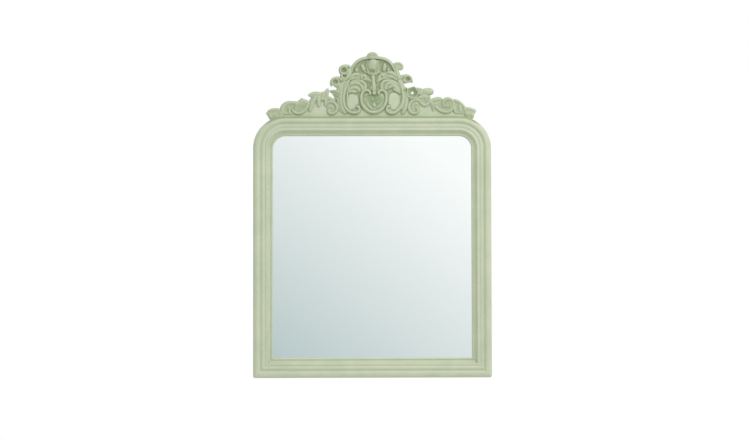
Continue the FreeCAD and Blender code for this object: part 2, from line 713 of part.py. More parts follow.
def carved_crest(frame_body, board):
    """The carvings, fitted to the board, to the frame's top edge and to each other."""
    fitted = []
    for name, body in crest_pieces():
        box = body.BoundBox
        neighbours = [other for _, other in fitted if other.BoundBox.intersect(box)]
        if box.ZMin < frame_top:
            neighbours.append(frame_body)
        if box.YMax > back_y - board_thickness / 2 - overrun:
            neighbours.append(board)
        if neighbours:
            body = body.cut(neighbours)
        fitted.append((name, body))
    return fitted


def crest_tenons():
    """Tenons that stand in the top rail and reach into the crest board."""
    depth = back_y - board_thickness / 2
    return [tenon(FreeCAD.Vector(side * crest_tenon_spacing / 2, depth, frame_top), 0) for side in (-1, 1)]


def plate_spots():
    """Where the three crest plates stand along the joint."""
    return [-plate_spacing, 0, plate_spacing]


def plate_screw_places():
    """One screw above the crest joint and one below it on each plate."""
    reach = plate_length / 2 - plate_screw_inset
    return [FreeCAD.Vector(x, back_y, frame_top + height) for x in plate_spots() for height in (reach, -reach)]


def crest_plates():
    """Flat steel plates across the joint between the crest board and the top rail."""
    radii = (screw_shank_radius, screw_shank_radius)
    holes = [turned(place, FRONT * -1, radii, plate_thickness, screw_sides) for place in plate_screw_places()]
    plates = []
    for x in plate_spots():
        corner = FreeCAD.Vector(x - plate_width / 2, back_y, frame_top - plate_length / 2)
        plates.append(Part.makeBox(plate_width, plate_thickness, plate_length, corner).cut(holes))
    return plates


def screw(place, lift):
    """A wood screw that enters from behind, with its round head lift above the frame's back."""
    seat = place - FRONT * lift
    shank = turned(seat, FRONT, (screw_shank_radius, screw_shank_radius), screw_length, screw_sides)
    head = turned(seat, FRONT * -1, (screw_head_radius, screw_head_radius / 2), screw_head_height, screw_sides)
    return shank.fuse(head)


def sunk_screw(place, lift):
    """A wood screw whose flat head lies flush in the piece that it holds."""
    seat = place - FRONT * lift
    head = turned(seat, FRONT, (screw_head_radius, screw_shank_radius), lift, screw_sides)
    shank = turned(place, FRONT, (screw_shank_radius, screw_shank_radius), screw_length - lift, screw_sides)
    return head.fuse(shank)


def hanger_places():
    """Where each hanging ring turns: its axis is a ring's length below the hanging line."""
    crown = ring_straight + ring_inner_width / 2
    return [(side, FreeCAD.Vector(side * (half_width - hanger_inset), back_y + ring_axis_height, -crown)) for side in (-1, 1)]


def strap_screw_places(axis):
    """The two screws of a strap, under its knuckle."""
    first = axis.z - strap_screw_inset
    return [FreeCAD.Vector(axis.x, back_y, height) for height in (first, first - strap_screw_spacing)]


def hanger_strap(axis):
    """A flat strap whose top is rolled into a knuckle round the ring."""
    corner = FreeCAD.Vector(axis.x - strap_width / 2, back_y, axis.z - strap_length)
    flat = Part.makeBox(strap_width, strap_thickness, strap_length, corner)
    bore = ring_wire_radius + knuckle_clearance
    start = FreeCAD.Vector(axis.x - knuckle_width / 2, axis.y, axis.z)
    knuckle = turned(start, RIGHT, (bore + knuckle_wall, bore + knuckle_wall), knuckle_width)
    hole = turned(start - RIGHT * overrun, RIGHT, (bore, bore), knuckle_width + overrun * 2)
    body = flat.fuse(knuckle).cut(hole)
    return body.cut([sunk_screw(place, strap_thickness) for place in strap_screw_places(axis)])


def hanger_ring(axis):
    """The ring, hanging down from its knuckle: a straight bar, two legs and a round crown."""
    leg_x = ring_inner_width / 2 + ring_wire_radius
    bar = turned(axis - RIGHT * leg_x, RIGHT, (ring_wire_radius, ring_wire_radius), leg_x * 2, screw_sides)
    middle = axis - UP * ring_straight
    stops = [(axis - RIGHT * leg_x, RIGHT * -1)]
    for step in range(bend_steps + 1):
        turn = math.pi * step / bend_steps
        outward = RIGHT * -math.cos(turn) - UP * math.sin(turn)
        stops.append((middle + outward * leg_x, outward))
    stops.append((axis + RIGHT * leg_x, RIGHT))
    sections = []
    for centre, outward in stops:
        turns = [math.tau * (number + 0.5) / screw_sides for number in range(screw_sides)]
        places = [centre + outward * (ring_wire_radius * math.cos(turn))
                  + FRONT * (ring_wire_radius * math.sin(turn)) for turn in turns]
        sections.append(places)
    return fuse([bar, skin(sections)])


def button_pivots():
    """Each turn button's name, pivot and the direction in which it reaches over the back."""
    inset = rail_width - rebate_width + button_overlap - button_length + button_width / 2
    middle = (frame_top + frame_bottom) / 2
    spots = []
    for name, side in (("left", -1), ("right", 1)):
        for place, level in (("upper", 1), ("lower", -1)):
            pivot = FreeCAD.Vector(side * (half_width - inset), back_y, middle + level * button_side_spacing / 2)
            spots.append((name + "_" + place + "_turn_button", pivot, RIGHT * -side))
    for name, height, reach in (("top", frame_top - inset, UP * -1), ("bottom", frame_bottom + inset, UP)):
        for place, side in (("left", -1), ("right", 1)):
            pivot = FreeCAD.Vector(side * button_end_spacing / 2, back_y, height)
            spots.append((name + "_" + place + "_turn_button", pivot, reach))
    return spots


def turn_button(pivot, reach):
    """A flat steel tongue with round ends that turns on its screw."""
    across = reach.cross(FRONT)
    half = button_width / 2
    start = pivot - FRONT * button_seat_gap
    end = start + reach * (button_length - button_width)
    far = Part.Arc(end + across * half, end + reach * half, end - across * half).toShape()
    near = Part.Arc(start - across * half, start - reach * half, start + across * half).toShape()
    body = flat(far.discretize(bend_steps + 1) + near.discretize(bend_steps + 1))
    body = body.extrude(FRONT * -button_thickness)
    hole_radius = screw_shank_radius + button_hole_clearance
    return body.cut(turned(start, FRONT * -1, (hole_radius, hole_radius), button_thickness, screw_sides))


def foot_pad(side):
    """A round felt pad between the foot of the frame and the wall."""
    place = FreeCAD.Vector(side * (half_width - pad_inset), back_y, frame_bottom + pad_inset)
    return turned(place, FRONT * -1, (pad_radius, pad_radius), wall_gap)


def build():
    """Every piece by its name."""
    nodes = {}
    frame_body = slab(outline(0), -overrun, rail_depth + arch_relief + overrun)

    tenons = {"rail_tenons": rail_tenons(), "mitre_tenons": mitre_tenons(), "crest_tenons": crest_tenons()}
    button_lift = button_seat_gap + button_thickness + button_seat_gap
    button_screws = [screw(pivot, button_lift) for _, pivot, _ in button_pivots()]
    plate_screws = [screw(place, plate_thickness) for place in plate_screw_places()]
    hanger_screws = [sunk_screw(place, strap_thickness)
                     for _, axis in hanger_places() for place in strap_screw_places(axis)]
    members = {
        "left_stile": stile(-1),
        "right_stile": stile(1),
        "top_rail": top_rail(),
        "bottom_rail": bottom_rail(),
        "top_left_corner": corner_block(-1),
        "top_right_corner": corner_block(1),
        "crest_board": plate(board_shares, 0, board_thickness).cut(frame_body),
    }
    held = [body for group in tenons.values() for body in group]
    for name, member in members.items():
        nodes[name] = member.cut([body for body in held if body.BoundBox.intersect(member.BoundBox)])
    for name, group in tenons.items():
        nodes[name] = Part.makeCompound(group)
    nodes["crest_plates"] = Part.makeCompound(crest_plates())
    nodes["crest_plate_screws"] = Part.makeCompound(plate_screws)
    nodes["turn_button_screws"] = Part.makeCompound(button_screws)
    nodes["hanger_screws"] = Part.makeCompound(hanger_screws)

    nodes["mirror_plate"] = slab(outline(pane_inset), back_thickness + cushion_thickness, glass_thickness)
    nodes["cushion_strips"] = cushion_strips()
    nodes["backing_board"] = slab(outline(pane_inset), 0, back_thickness)

    for name, body in carved_crest(frame_body, members["crest_board"]):
        nodes[name] = body

    for name, (side, axis) in zip(("left", "right"), hanger_places()):
        nodes[name + "_hanger_strap"] = hanger_strap(axis)
        nodes[name + "_hanger_ring"] = hanger_ring(axis)
        nodes[name + "_foot_pad"] = foot_pad(side)
    for name, pivot, reach in button_pivots():
        nodes[name] = turn_button(pivot, reach)
    return nodes


os.makedirs("parts", exist_ok=True)
for node, shape in build().items():
    shape.exportStep("parts/" + node + ".step")
    print(node, len(shape.Solids), "solids", round(shape.Volume), "mm3", "valid" if shape.isValid() else "BAD")
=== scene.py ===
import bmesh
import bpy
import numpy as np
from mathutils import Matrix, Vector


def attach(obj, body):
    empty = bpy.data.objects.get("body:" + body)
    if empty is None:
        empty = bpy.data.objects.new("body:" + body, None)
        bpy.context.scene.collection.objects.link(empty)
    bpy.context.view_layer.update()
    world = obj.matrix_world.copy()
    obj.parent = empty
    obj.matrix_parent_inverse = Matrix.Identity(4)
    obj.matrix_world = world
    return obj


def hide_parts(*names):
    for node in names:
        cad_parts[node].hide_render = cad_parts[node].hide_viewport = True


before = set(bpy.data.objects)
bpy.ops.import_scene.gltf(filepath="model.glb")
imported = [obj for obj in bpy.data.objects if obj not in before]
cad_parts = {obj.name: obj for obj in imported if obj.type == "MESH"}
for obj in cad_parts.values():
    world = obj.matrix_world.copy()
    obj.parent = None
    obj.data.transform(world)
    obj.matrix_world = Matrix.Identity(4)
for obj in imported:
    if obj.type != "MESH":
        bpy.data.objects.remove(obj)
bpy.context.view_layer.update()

# %% [markdown]
# A painted wall mirror is a moulded frame with a sawn crest board on top, and carvings glued to
# that board. The solids from the workshop drawing are loaded above. This lesson dresses them:
# smooth mouldings, carved scrolls and leaves, paint with painted shade in the hollows, silvered
# glass, and the steel fittings on the back.

mm = 0.001
wall_gap, board_thickness = 8 * mm, 14 * mm
board_front = -wall_gap - board_thickness
frame_half, frame_top, frame_foot = 437.5 * mm, 180 * mm, -780 * mm
corner_radius, foot_radius = 118 * mm, 8 * mm

# %% [markdown]
# The crest is drawn on squared paper, as a carver draws it. One square is 3.677 mm on the mirror.
# The frame's centre line is column 372.1 and its top edge is row 116.6, and rows count downwards.


# %% Squared paper
square = 3.677 * mm
centre_column, top_row = 372.1, 116.6


def on_crest(places):
    """Across = (column - centre column) squares; up = frame top + (top row - row) squares."""
    column, row = np.asarray(places, float).T
    return np.column_stack([(column - centre_column) * square, frame_top + (top_row - row) * square])


print("the crest's tip lies at", on_crest([(374, 52.2)])[0])

# %% [markdown]
# A carver marks a few places of a scroll and joins them by eye with one sweep of the pencil. A
# natural cubic spline does the same: it is the smoothest line through the marks. Splines in
# Blender's curves could do it too, but as an array the line can carry any section.


# %% A sweep of the pencil
def smooth_path(stops, shares):
    """Natural cubic spline through stops: its curvature changes evenly and is zero at both ends."""
    stops = np.asarray(stops, float)
    run = np.concatenate([[0], np.cumsum(np.linalg.norm(np.diff(stops, axis=0), axis=1))])
    gap = np.diff(run)
    bend = np.zeros_like(stops)
    if len(stops) > 2:
        slope = np.diff(stops, axis=0) / gap[:, None]
        matrix = np.diag(2 * (gap[:-1] + gap[1:])) + np.diag(gap[1:-1], 1) + np.diag(gap[1:-1], -1)
        bend[1:-1] = np.linalg.solve(matrix, 6 * np.diff(slope, axis=0))
    at = np.asarray(shares) * run[-1]
    leg = np.clip(np.searchsorted(run, at, side="right") - 1, 0, len(stops) - 2)
    width = gap[leg][:, None]
    late = (at - run[leg])[:, None] / width
    early = 1 - late
    curve = (early**3 - early) * bend[leg] + (late**3 - late) * bend[leg + 1]
    return early * stops[leg] + late * stops[leg + 1] + curve * width**2 / 6


def spread(values, shares):
    """A few values spaced evenly along a piece become one value for each share of its length."""
    return np.interp(shares, np.linspace(0, 1, len(values)), values)


# %% [markdown]
# Every carved form here is a tube: a closed section repeated along a line. The tube's rings go
# into one mesh as a grid of quads, with a fan of triangles over each open end, so it is watertight.


# %% Tubes and pieces
def tube(rings, looped=False):
    """Vertices and faces of a grid of rings: quad (i, j) joins ring i to ring i + 1; ends get fans."""
    count, sides = rings.shape[:2]
    places = rings.reshape(-1, 3)
    row = np.arange(count if looped else count - 1)[:, None]
    side = np.arange(sides)[None, :]
    following, beside = (row + 1) % count, (side + 1) % sides
    here, there = row * sides, following * sides
    quads = np.stack([here + side, here + beside, there + beside, there + side], axis=2).reshape(-1, 4)
    if looped:
        return places, quads, np.zeros((0, 3), int)
    places = np.vstack([places, rings[0].mean(0), rings[-1].mean(0)])
    ring = np.arange(sides)
    tips = len(places) - 2, len(places) - 1
    first = np.column_stack([(ring + 1) % sides, ring, np.full(sides, tips[0])])
    last_ring = (count - 1) * sides
    last = np.column_stack([last_ring + ring, last_ring + (ring + 1) % sides, np.full(sides, tips[1])])
    return places, quads, np.vstack([first, last])


def piece(name, tubes, material, slot, body, node, sharp, grain=0.0):
    """One object of many tubes in place of a node, smooth-shaded except past the sharp angle in degrees.

    With a grain, in metres, the tubes are merged into one skin.
    """
    starts = np.cumsum([0] + [len(part[0]) for part in tubes[:-1]])
    places = np.vstack([part[0] for part in tubes])
    quads = np.vstack([part[1] + start for part, start in zip(tubes, starts)])
    ends = np.vstack([part[2] + start for part, start in zip(tubes, starts)])
    mesh = bpy.data.meshes.new(name)
    mesh.from_pydata(places.tolist(), [], quads.tolist() + ends.tolist())
    mesh.validate()
    item = bpy.data.objects.new(name, mesh)
    bpy.context.scene.collection.objects.link(item)
    point_outwards(mesh)
    if grain:
        merge_tubes(item, grain)
        mesh = item.data
    mesh.polygons.foreach_set("use_smooth", np.ones(len(mesh.polygons), bool))
    mesh.set_sharp_from_angle(angle=np.radians(sharp))
    mesh.materials.append(material)
    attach(item, body)
    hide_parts(node)
    print(name, sum(len(face.vertices) - 2 for face in mesh.polygons), "triangles")
    return item


def merge_tubes(item, grain):
    """A voxel remesh makes overlapping tubes one skin, and smoothing rounds the cuts between them."""
    remesh = item.modifiers.new("one_skin", "REMESH")
    remesh.mode, remesh.voxel_size = "VOXEL", grain
    smooth = item.modifiers.new("sanded", "SMOOTH")
    smooth.factor, smooth.iterations = 0.5, 5
    whole = bpy.data.meshes.new_from_object(item.evaluated_get(bpy.context.evaluated_depsgraph_get()))
    item.modifiers.clear()
    rough, item.data = item.data, whole
    bpy.data.meshes.remove(rough)


def point_outwards(mesh):
    """Places less than a hundredth of a millimetre apart merge, then closed shells face outwards."""
    shell = bmesh.new()
    shell.from_mesh(mesh)
    bmesh.ops.remove_doubles(shell, verts=shell.verts, dist=0.01 * mm)
    bmesh.ops.recalc_face_normals(shell, faces=shell.faces)
    shell.to_mesh(mesh)
    shell.free()


# %% [markdown]
# Paint, glass, steel, felt and board are all procedural. A short helper adds one shader node and
# wires it, so each finish reads from top to bottom like a recipe.


# %% Shader helpers
def new_finish(name):
    """A material with one Principled shader wired to its output."""
    material = bpy.data.materials.new(name)
    material.use_nodes = True
    tree = material.node_tree
    tree.nodes.clear()
    output = tree.nodes.new("ShaderNodeOutputMaterial")
    surface = tree.nodes.new("ShaderNodeBsdfPrincipled")
    feed(tree, output, {"Surface": surface.outputs["BSDF"]})
    return material, tree, surface


def feed(tree, node, inputs):
    """Each of these inputs of the node gets a value, or a link from another node's socket."""
    for key, value in inputs.items():
        if isinstance(value, bpy.types.NodeSocket):
            tree.links.new(value, node.inputs[key])
        else:
            node.inputs[key].default_value = value


def add(tree, kind, inputs, **settings):
    """One node: settings are its options, inputs are values or other nodes' sockets."""
    node = tree.nodes.new(kind)
    for key, value in settings.items():
        setattr(node, key, value)
    feed(tree, node, inputs)
    return node


def bumps(tree, relief, strength, depth):
    """A normal that makes the relief, 0 to 1, look up to depth metres high."""
    inputs = {"Height": relief, "Strength": strength, "Distance": depth}
    return add(tree, "ShaderNodeBump", inputs).outputs[0]


def ramp(tree, value, low, high, to_low=0.0, to_high=1.0):
    """A smooth step: value from low to high becomes to_low to to_high."""
    inputs = {0: value, 1: low, 2: high, 3: to_low, 4: to_high}
    return add(tree, "ShaderNodeMapRange", inputs, interpolation_type="SMOOTHSTEP").outputs[0]


def blend_colours(tree, share, first, second):
    """Colour first where share is 0, second where it is 1."""
    inputs = {"Factor": share, 6: first, 7: second}
    return add(tree, "ShaderNodeMix", inputs, data_type="RGBA").outputs[2]


def speckle(tree, place, scale, detail=3.0, stretch=(1, 1, 1)):
    """Noise on the object's own metres, drawn out by stretch."""
    drawn_out = add(tree, "ShaderNodeMapping", {"Vector": place, "Scale": stretch})
    inputs = {"Vector": drawn_out.outputs[0], "Scale": scale, "Detail": detail, "Roughness": 0.55}
    return add(tree, "ShaderNodeTexNoise", inputs).outputs["Fac"]


def math_of(tree, operation, *values):
    """One Math node: the operation on numbers or sockets."""
    return add(tree, "ShaderNodeMath", dict(enumerate(values)), operation=operation).outputs[0]


def sum_of(tree, first, second, share=1.0):
    """first + share * second."""
    return math_of(tree, "MULTIPLY_ADD", second, share, first)


# %% [markdown]
# The frame is painted a pale sage whose tone wanders at random between cream and a cooler sage.
# The dark colour in every hollow is painted shade: ambient occlusion measures how closed in a spot
# is, and the more closed in, the darker the paint. Brush hairs run along each moulding, so the
# streaks follow its UV map, and the carvings get an even mottle instead. The same material leaves
# the back bare, because nobody paints what faces the wall.


# %% Sage paint
cream_sage, cool_sage = (0.62, 0.665, 0.475, 1), (0.55, 0.615, 0.43, 1)
# The dark colour that painted shade mixes in: in hollows, along the seam and in pools.
painted_shade_colour = (0.295, 0.375, 0.195, 1)
bare_beech, dark_beech = (0.52, 0.38, 0.24, 1), (0.40, 0.27, 0.155, 1)
shoulder_centre = (frame_half - corner_radius, frame_top - corner_radius)
# The painted shadow along the seam of crest and frame: its radius, its fade and its ends.
seam_radius, seam_full, seam_gone = 112.8 * mm, 1.5 * mm, 6.5 * mm
seam_ends, seam_foot = (375 * mm, 400 * mm), (100 * mm, 130 * mm)
# The painted shade on the ground inside the hood: its middle, reach, strength, edge and depth.
hood_middle, hood_reach, hood_strength = (374.2, 84.5), 29 * square, 0.78
hood_edge, hood_relief = (0.8, 1.05), (3.2 * mm, 0.6 * mm)


def squares(tree, first, second):
    """first squared + second squared."""
    first = math_of(tree, "MULTIPLY", first, first)
    return math_of(tree, "ADD", first, math_of(tree, "MULTIPLY", second, second))


def painted_seam_shadow(tree, parts):
    """Painted shadow along the joint of crest and frame: it fades with the distance from the frame's
    outline.

    Past a shoulder's centre, distance = root of (out squared + up squared) - the seam's radius.
    """
    aside = math_of(tree, "ABSOLUTE", parts[0])
    out = math_of(tree, "MAXIMUM", math_of(tree, "SUBTRACT", aside, shoulder_centre[0]), 0)
    up = math_of(tree, "MAXIMUM", math_of(tree, "SUBTRACT", parts[2], shoulder_centre[1]), 0)
    distance = math_of(tree, "SQRT", squares(tree, out, up))
    apart = math_of(tree, "ABSOLUTE", math_of(tree, "SUBTRACT", distance, seam_radius))
    near = ramp(tree, apart, seam_full, seam_gone, 1.0, 0.0)
    inside = ramp(tree, aside, *seam_ends, 1.0, 0.0)
    above = ramp(tree, parts[2], *seam_foot)
    return math_of(tree, "MULTIPLY", math_of(tree, "MULTIPLY", near, inside), above)


def painted_hood_shade(tree, parts):
    """Painted shade on the ground inside the scrolls: within a circle, and only near the board."""
    middle = on_crest([hood_middle])[0]
    x = math_of(tree, "DIVIDE", math_of(tree, "SUBTRACT", parts[0], middle[0]), hood_reach)
    z = math_of(tree, "DIVIDE", math_of(tree, "SUBTRACT", parts[2], middle[1]), hood_reach)
    reach = squares(tree, x, z)
    low = ramp(tree, parts[1], board_front - hood_relief[0], board_front - hood_relief[1])
    return math_of(tree, "MULTIPLY", ramp(tree, reach, *hood_edge, 1.0, 0.0), low)


def sage_paint(name, streaked, reach, depth, seam):
    """Paint whose painted shade is the greatest of: depth * how closed in a spot is within reach,
    seam * the seam's painted shadow, and on the carvings the hood's and the attribute's painted
    shade. The back is left bare beech."""
    material, tree, surface = new_finish(name)
    place = add(tree, "ShaderNodeTexCoord", {})
    own = place.outputs["Object"]
    parts = add(tree, "ShaderNodeSeparateXYZ", {0: own}).outputs
    cloud = speckle(tree, own, 14, 4)
    mottle = speckle(tree, own, 260, 3)
    along = place.outputs["UV"] if streaked else own
    hairs = speckle(tree, along, 1, 4, (9, 1500, 1)) if streaked else speckle(tree, own, 620, 2)
    tone = ramp(tree, sum_of(tree, cloud, hairs, 0.35), 0.45, 0.9)
    body = blend_colours(tree, tone, cream_sage, cool_sage)
    # Painted shade: the more closed in a spot is, by ambient occlusion, the darker its paint.
    closed = add(tree, "ShaderNodeAmbientOcclusion", {"Distance": reach}, samples=8)
    openness = sum_of(tree, closed.outputs["AO"], mottle, 0.16)
    painted_shade = math_of(tree, "MULTIPLY", ramp(tree, openness, 1.0, 0.5), depth)
    # Painted shadow along the seam of crest and frame.
    painted_shade = math_of(tree, "MAXIMUM", painted_shade, math_of(tree, "MULTIPLY", painted_seam_shadow(tree, parts), seam))
    if not streaked:
        # Painted shade on the carvings: the hood's, and the attribute's low places and pools.
        hood = math_of(tree, "MULTIPLY", painted_hood_shade(tree, parts), hood_strength)
        pooled = add(tree, "ShaderNodeAttribute", {}, attribute_name="painted_carving_shade").outputs["Fac"]
        painted_shade = math_of(tree, "MAXIMUM", math_of(tree, "MAXIMUM", painted_shade, hood), pooled)
    colour = blend_colours(tree, painted_shade, body, painted_shade_colour)
    fibre = speckle(tree, along, 1, 5, (6, 260, 1) if streaked else (6, 60, 260))
    wood = blend_colours(tree, ramp(tree, fibre, 0.35, 0.65), bare_beech, dark_beech)
    back = ramp(tree, parts[1], -wall_gap - 0.6 * mm, -wall_gap - 0.3 * mm)
    feed(tree, surface, {
        "Base Color": blend_colours(tree, back, colour, wood),
        "Roughness": ramp(tree, sum_of(tree, mottle, cloud, 0.5), 0.45, 1.0, 0.36, 0.56),
        "Normal": bumps(tree, sum_of(tree, mottle, hairs, 0.8), 0.35, 0.25 * mm),
    })
    return material


moulding_paint = sage_paint("moulding_paint", True, 0.016, 0.4, 0.9)
carving_paint = sage_paint("carving_paint", False, 0.012, 0.16, 0.15)
print("paints made:", moulding_paint.name, carving_paint.name)

# %% [markdown]
# The moulding is one section carried along the frame. Its section here is the drawing's, with its
# arcs left round: a quarter round rising into a torus, a narrow quirk, two soft reeds, a cove and
# a small lip over the glass. Straight runs need only a ring at each end. A foot mitre is a ring
# that leans at 45 degrees, because each place on the section stops as far up as it lies inwards.

# %% The moulding's section
rail_width, rail_depth = 72 * mm, 34 * mm
rebate_inner, rebate_depth = 62 * mm, 9 * mm
section_start, lip_share = (0.0, 0.54), 0.46
section_arcs = [
    ((0.055, 0.86), (0.21, 1.0)),
    ((0.31, 0.955), (0.36, 0.84)),
    ((0.385, 0.815), (0.415, 0.84)),
    ((0.50, 0.895), (0.575, 0.85)),
    ((0.61, 0.828), (0.645, 0.85)),
    ((0.69, 0.875), (0.745, 0.845)),
    ((0.80, 0.60), (0.90, 0.50)),
    ((0.945, 0.555), (0.985, 0.50)),
]


def three_point_arc(start, middle, end, count):
    """The circle through three places: its centre is as far from each, and it turns past the middle."""
    start, middle, end = (np.asarray(spot, float) for spot in (start, middle, end))
    matrix = 2 * np.array([middle - start, end - start])
    centre = np.linalg.solve(matrix, [middle @ middle - start @ start, end @ end - start @ start])
    turns = np.unwrap([np.arctan2(*(spot - centre)[::-1]) for spot in (start, middle, end)])
    angle = np.linspace(turns[0], turns[2], count)
    return centre + np.linalg.norm(start - centre) * np.column_stack([np.cos(angle), np.sin(angle)])


def moulding_section():
    """Places round the section as (across, height) in metres, from the outer back edge inwards."""
    size = np.array([rail_width, rail_depth])
    last = np.array(section_start) * size
    places = [np.zeros((1, 2)), [last]]
    for middle, end in section_arcs:
        arc = three_point_arc(last, np.array(middle) * size, np.array(end) * size, 9)
        places.append(arc[1:])
        last = arc[-1]
    lip = [(rail_width, lip_share * rail_depth), (rail_width, rebate_depth)]
    rebate = [(rebate_inner, rebate_depth), (rebate_inner, 0)]
    return np.vstack(places + [lip, rebate])


section = moulding_section()
across, height = section[:, 0], section[:, 1]
print("the moulding's section has", len(section), "places")

# %% [markdown]
# Stiles and rails are lengths of that moulding, and each shoulder is a block with the same moulding
# in a quarter circle. A curve with a bevel object would make the whole ring in one go. Here each
# member is its own run of rings, because the real ones meet at glued joints, and because the brush
# follows each member. Flat ends close the runs, so that neighbours meet face to face.


# %% Rails, stiles and shoulders
def ring_at(x, z):
    """The section set upright: x and z of each place, and its height towards the viewer."""
    return np.column_stack([x, -wall_gap - height, z])


def foot_rings(side, upright):
    """Rings round a foot corner: the outer 8 mm turn through an arc, the rest stops on the mitre."""
    centre = frame_half - foot_radius
    rings = []
    for turn in np.radians(np.linspace(0, 45, 5) if upright else np.linspace(90, 45, 5)):
        small = np.maximum(foot_radius - across, 0)
        x = np.where(across < foot_radius, centre + small * np.cos(turn), frame_half - across)
        low = np.where(across < foot_radius, foot_radius - small * np.sin(turn), across)
        rings.append(ring_at(side * x, frame_foot + low))
    return rings


def with_brush_map(item, lengths):
    """A UV map in metres: u along the member, v round its section, so that brush hairs follow it."""
    mesh = item.data
    corners = np.zeros(len(mesh.vertices) * 3)
    mesh.vertices.foreach_get("co", corners)
    spots = corners.reshape(-1, 3)
    along, round_section = lengths(spots)
    index = np.zeros(len(mesh.loops), int)
    mesh.loops.foreach_get("vertex_index", index)
    layer = mesh.uv_layers.new(name="brush")
    layer.data.foreach_set("uv", np.column_stack([along[index], round_section[index]]).ravel())


def upright_map(spots):
    """On a stile: along = height, round = distance from the middle."""
    return spots[:, 2], np.abs(spots[:, 0])


def level_map(spots):
    """On a rail: along = place across, round = distance from the frame's top."""
    return spots[:, 0], np.abs(spots[:, 2] - frame_top)


def shoulder_map(spots):
    """On a shoulder: along = angle times the outer radius, round = distance from its centre."""
    out, up = np.abs(spots[:, 0]) - shoulder_centre[0], spots[:, 2] - shoulder_centre[1]
    return np.arctan2(up, out) * corner_radius, np.hypot(out, up)


def stile(side):
    """A level ring where the shoulder starts, then the rings of the foot corner."""
    top = ring_at(side * (frame_half - across), np.full(len(across), shoulder_centre[1]))
    return np.array([top] + foot_rings(side, True))


def shoulder(side):
    """The section turned through a quarter circle about the shoulder's centre, in 48 steps."""
    reach = corner_radius - across
    rings = []
    for turn in np.radians(np.linspace(0, 90, 49)):
        x, z = shoulder_centre[0] + reach * np.cos(turn), shoulder_centre[1] + reach * np.sin(turn)
        rings.append(ring_at(side * x, z))
    return np.array(rings)


def top_rail():
    """One upright ring at each shoulder."""
    ends = [side * shoulder_centre[0] for side in (-1, 1)]
    return np.array([ring_at(np.full(len(across), x), frame_top - across) for x in ends])


def bottom_rail():
    """The rings of both foot corners, from the left mitre to the right one."""
    return np.array(foot_rings(-1, False)[::-1] + foot_rings(1, False))


def run_of(rings):
    """The grid of a tube, but each end is one flat face, since a fan would bridge the hollows."""
    places, quads, _ = tube(rings)
    count, sides = rings.shape[:2]
    around = np.arange(sides)
    return places[:count * sides], quads, np.array([around[::-1], (count - 1) * sides + around])


members = {
    "left_stile": (stile(-1), upright_map),
    "right_stile": (stile(1), upright_map),
    "top_left_corner": (shoulder(-1), shoulder_map),
    "top_right_corner": (shoulder(1), shoulder_map),
    "top_rail": (top_rail(), level_map),
    "bottom_rail": (bottom_rail(), level_map),
}
for node, (rings, brush) in members.items():
    run = [run_of(rings)]
    member = piece("moulded_" + node, run, moulding_paint, "frame_paint", "mirror_frame", node, 35)
    with_brush_map(member, brush)

# %% [markdown]
# The plain mirror plate keeps its solid. Old-looking glass still reflects almost everything, a
# touch less red than green, and only dust makes it a little rough.

# %% Silvered glass
silver, tree, surface = new_finish("silvered_glass")
own = add(tree, "ShaderNodeTexCoord", {}).outputs["Object"]
dust = speckle(tree, own, 30, 5)
feed(tree, surface, {
    "Base Color": blend_colours(tree, dust, (0.94, 0.955, 0.95, 1), (0.95, 0.965, 0.96, 1)),
    "Roughness": ramp(tree, dust, 0.3, 0.9, 0.012, 0.03),
    "Metallic": 1.0,
})
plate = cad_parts["mirror_plate"]
plate.data.materials.clear()
plate.data.materials.append(silver)

# %% [markdown]
# Carving is relief: from the front it is a drawing, and from the side a landscape some millimetres
# high. Sculpting would do, but a carver's cuts are strokes of a gouge, so each scroll, rib or leaf
# here is one stroke: a pencil line, a width along it, a height along it, and a section across it.

# %% Sections of a stroke
across_shares = -np.cos(np.linspace(0, np.pi, 17))
relief_share, spare_width, sunk_foot = 0.75, 0.3, -1.0
end_crowding, blunt_end = 0.7, 0.12


def round_rib(c):
    """A rounded rib: full in the middle, steep at the edges."""
    return (1 - np.abs(c) ** 2.4) ** 0.6


def crisp_rib(c):
    """A rib with a crest: the height falls almost straight to each edge."""
    return (1 - np.abs(c) ** 1.35) ** 0.9


def inner_slope(c):
    """A band that stands high on its first side and slopes down to its second."""
    return np.sqrt(1 - c**8) * (1 - 0.30 * (1 + c))


def stroke(stops, widths, heights, form=round_rib, foot=sunk_foot):
    """The section's width and height follow the line; both ends close in as a half circle does.

    height = foot + (relief share * height - foot) * form of the place across, in millimetres.
    """
    even = np.linspace(0, 1, 7 * len(stops))
    shares = even - end_crowding / (2 * np.pi) * np.sin(2 * np.pi * even)
    line = smooth_path(on_crest(stops), shares)
    run = np.concatenate([[0], np.cumsum(np.linalg.norm(np.diff(line, axis=0), axis=1))])
    direction = np.gradient(line, axis=0)
    direction /= np.linalg.norm(direction, axis=1)[:, None]
    sideways = np.column_stack([-direction[:, 1], direction[:, 0]])
    half = (spread(widths, shares) + spare_width) * square / 2
    near_end = np.clip(np.minimum(run, run[-1] - run) / half, 0, 1)
    nose = np.maximum(np.sqrt(1 - (1 - near_end) ** 2), blunt_end)
    half = half * nose
    tall = (relief_share * spread(heights, shares) - foot) * mm * np.sqrt(nose)
    flat = line[:, None, :] + sideways[:, None, :] * (half[:, None] * across_shares)[:, :, None]
    up = foot * mm + tall[:, None] * form(across_shares)
    return tube(np.stack([flat[:, :, 0], board_front - up, flat[:, :, 1]], axis=2))


print("a stroke across has", len(across_shares), "places")
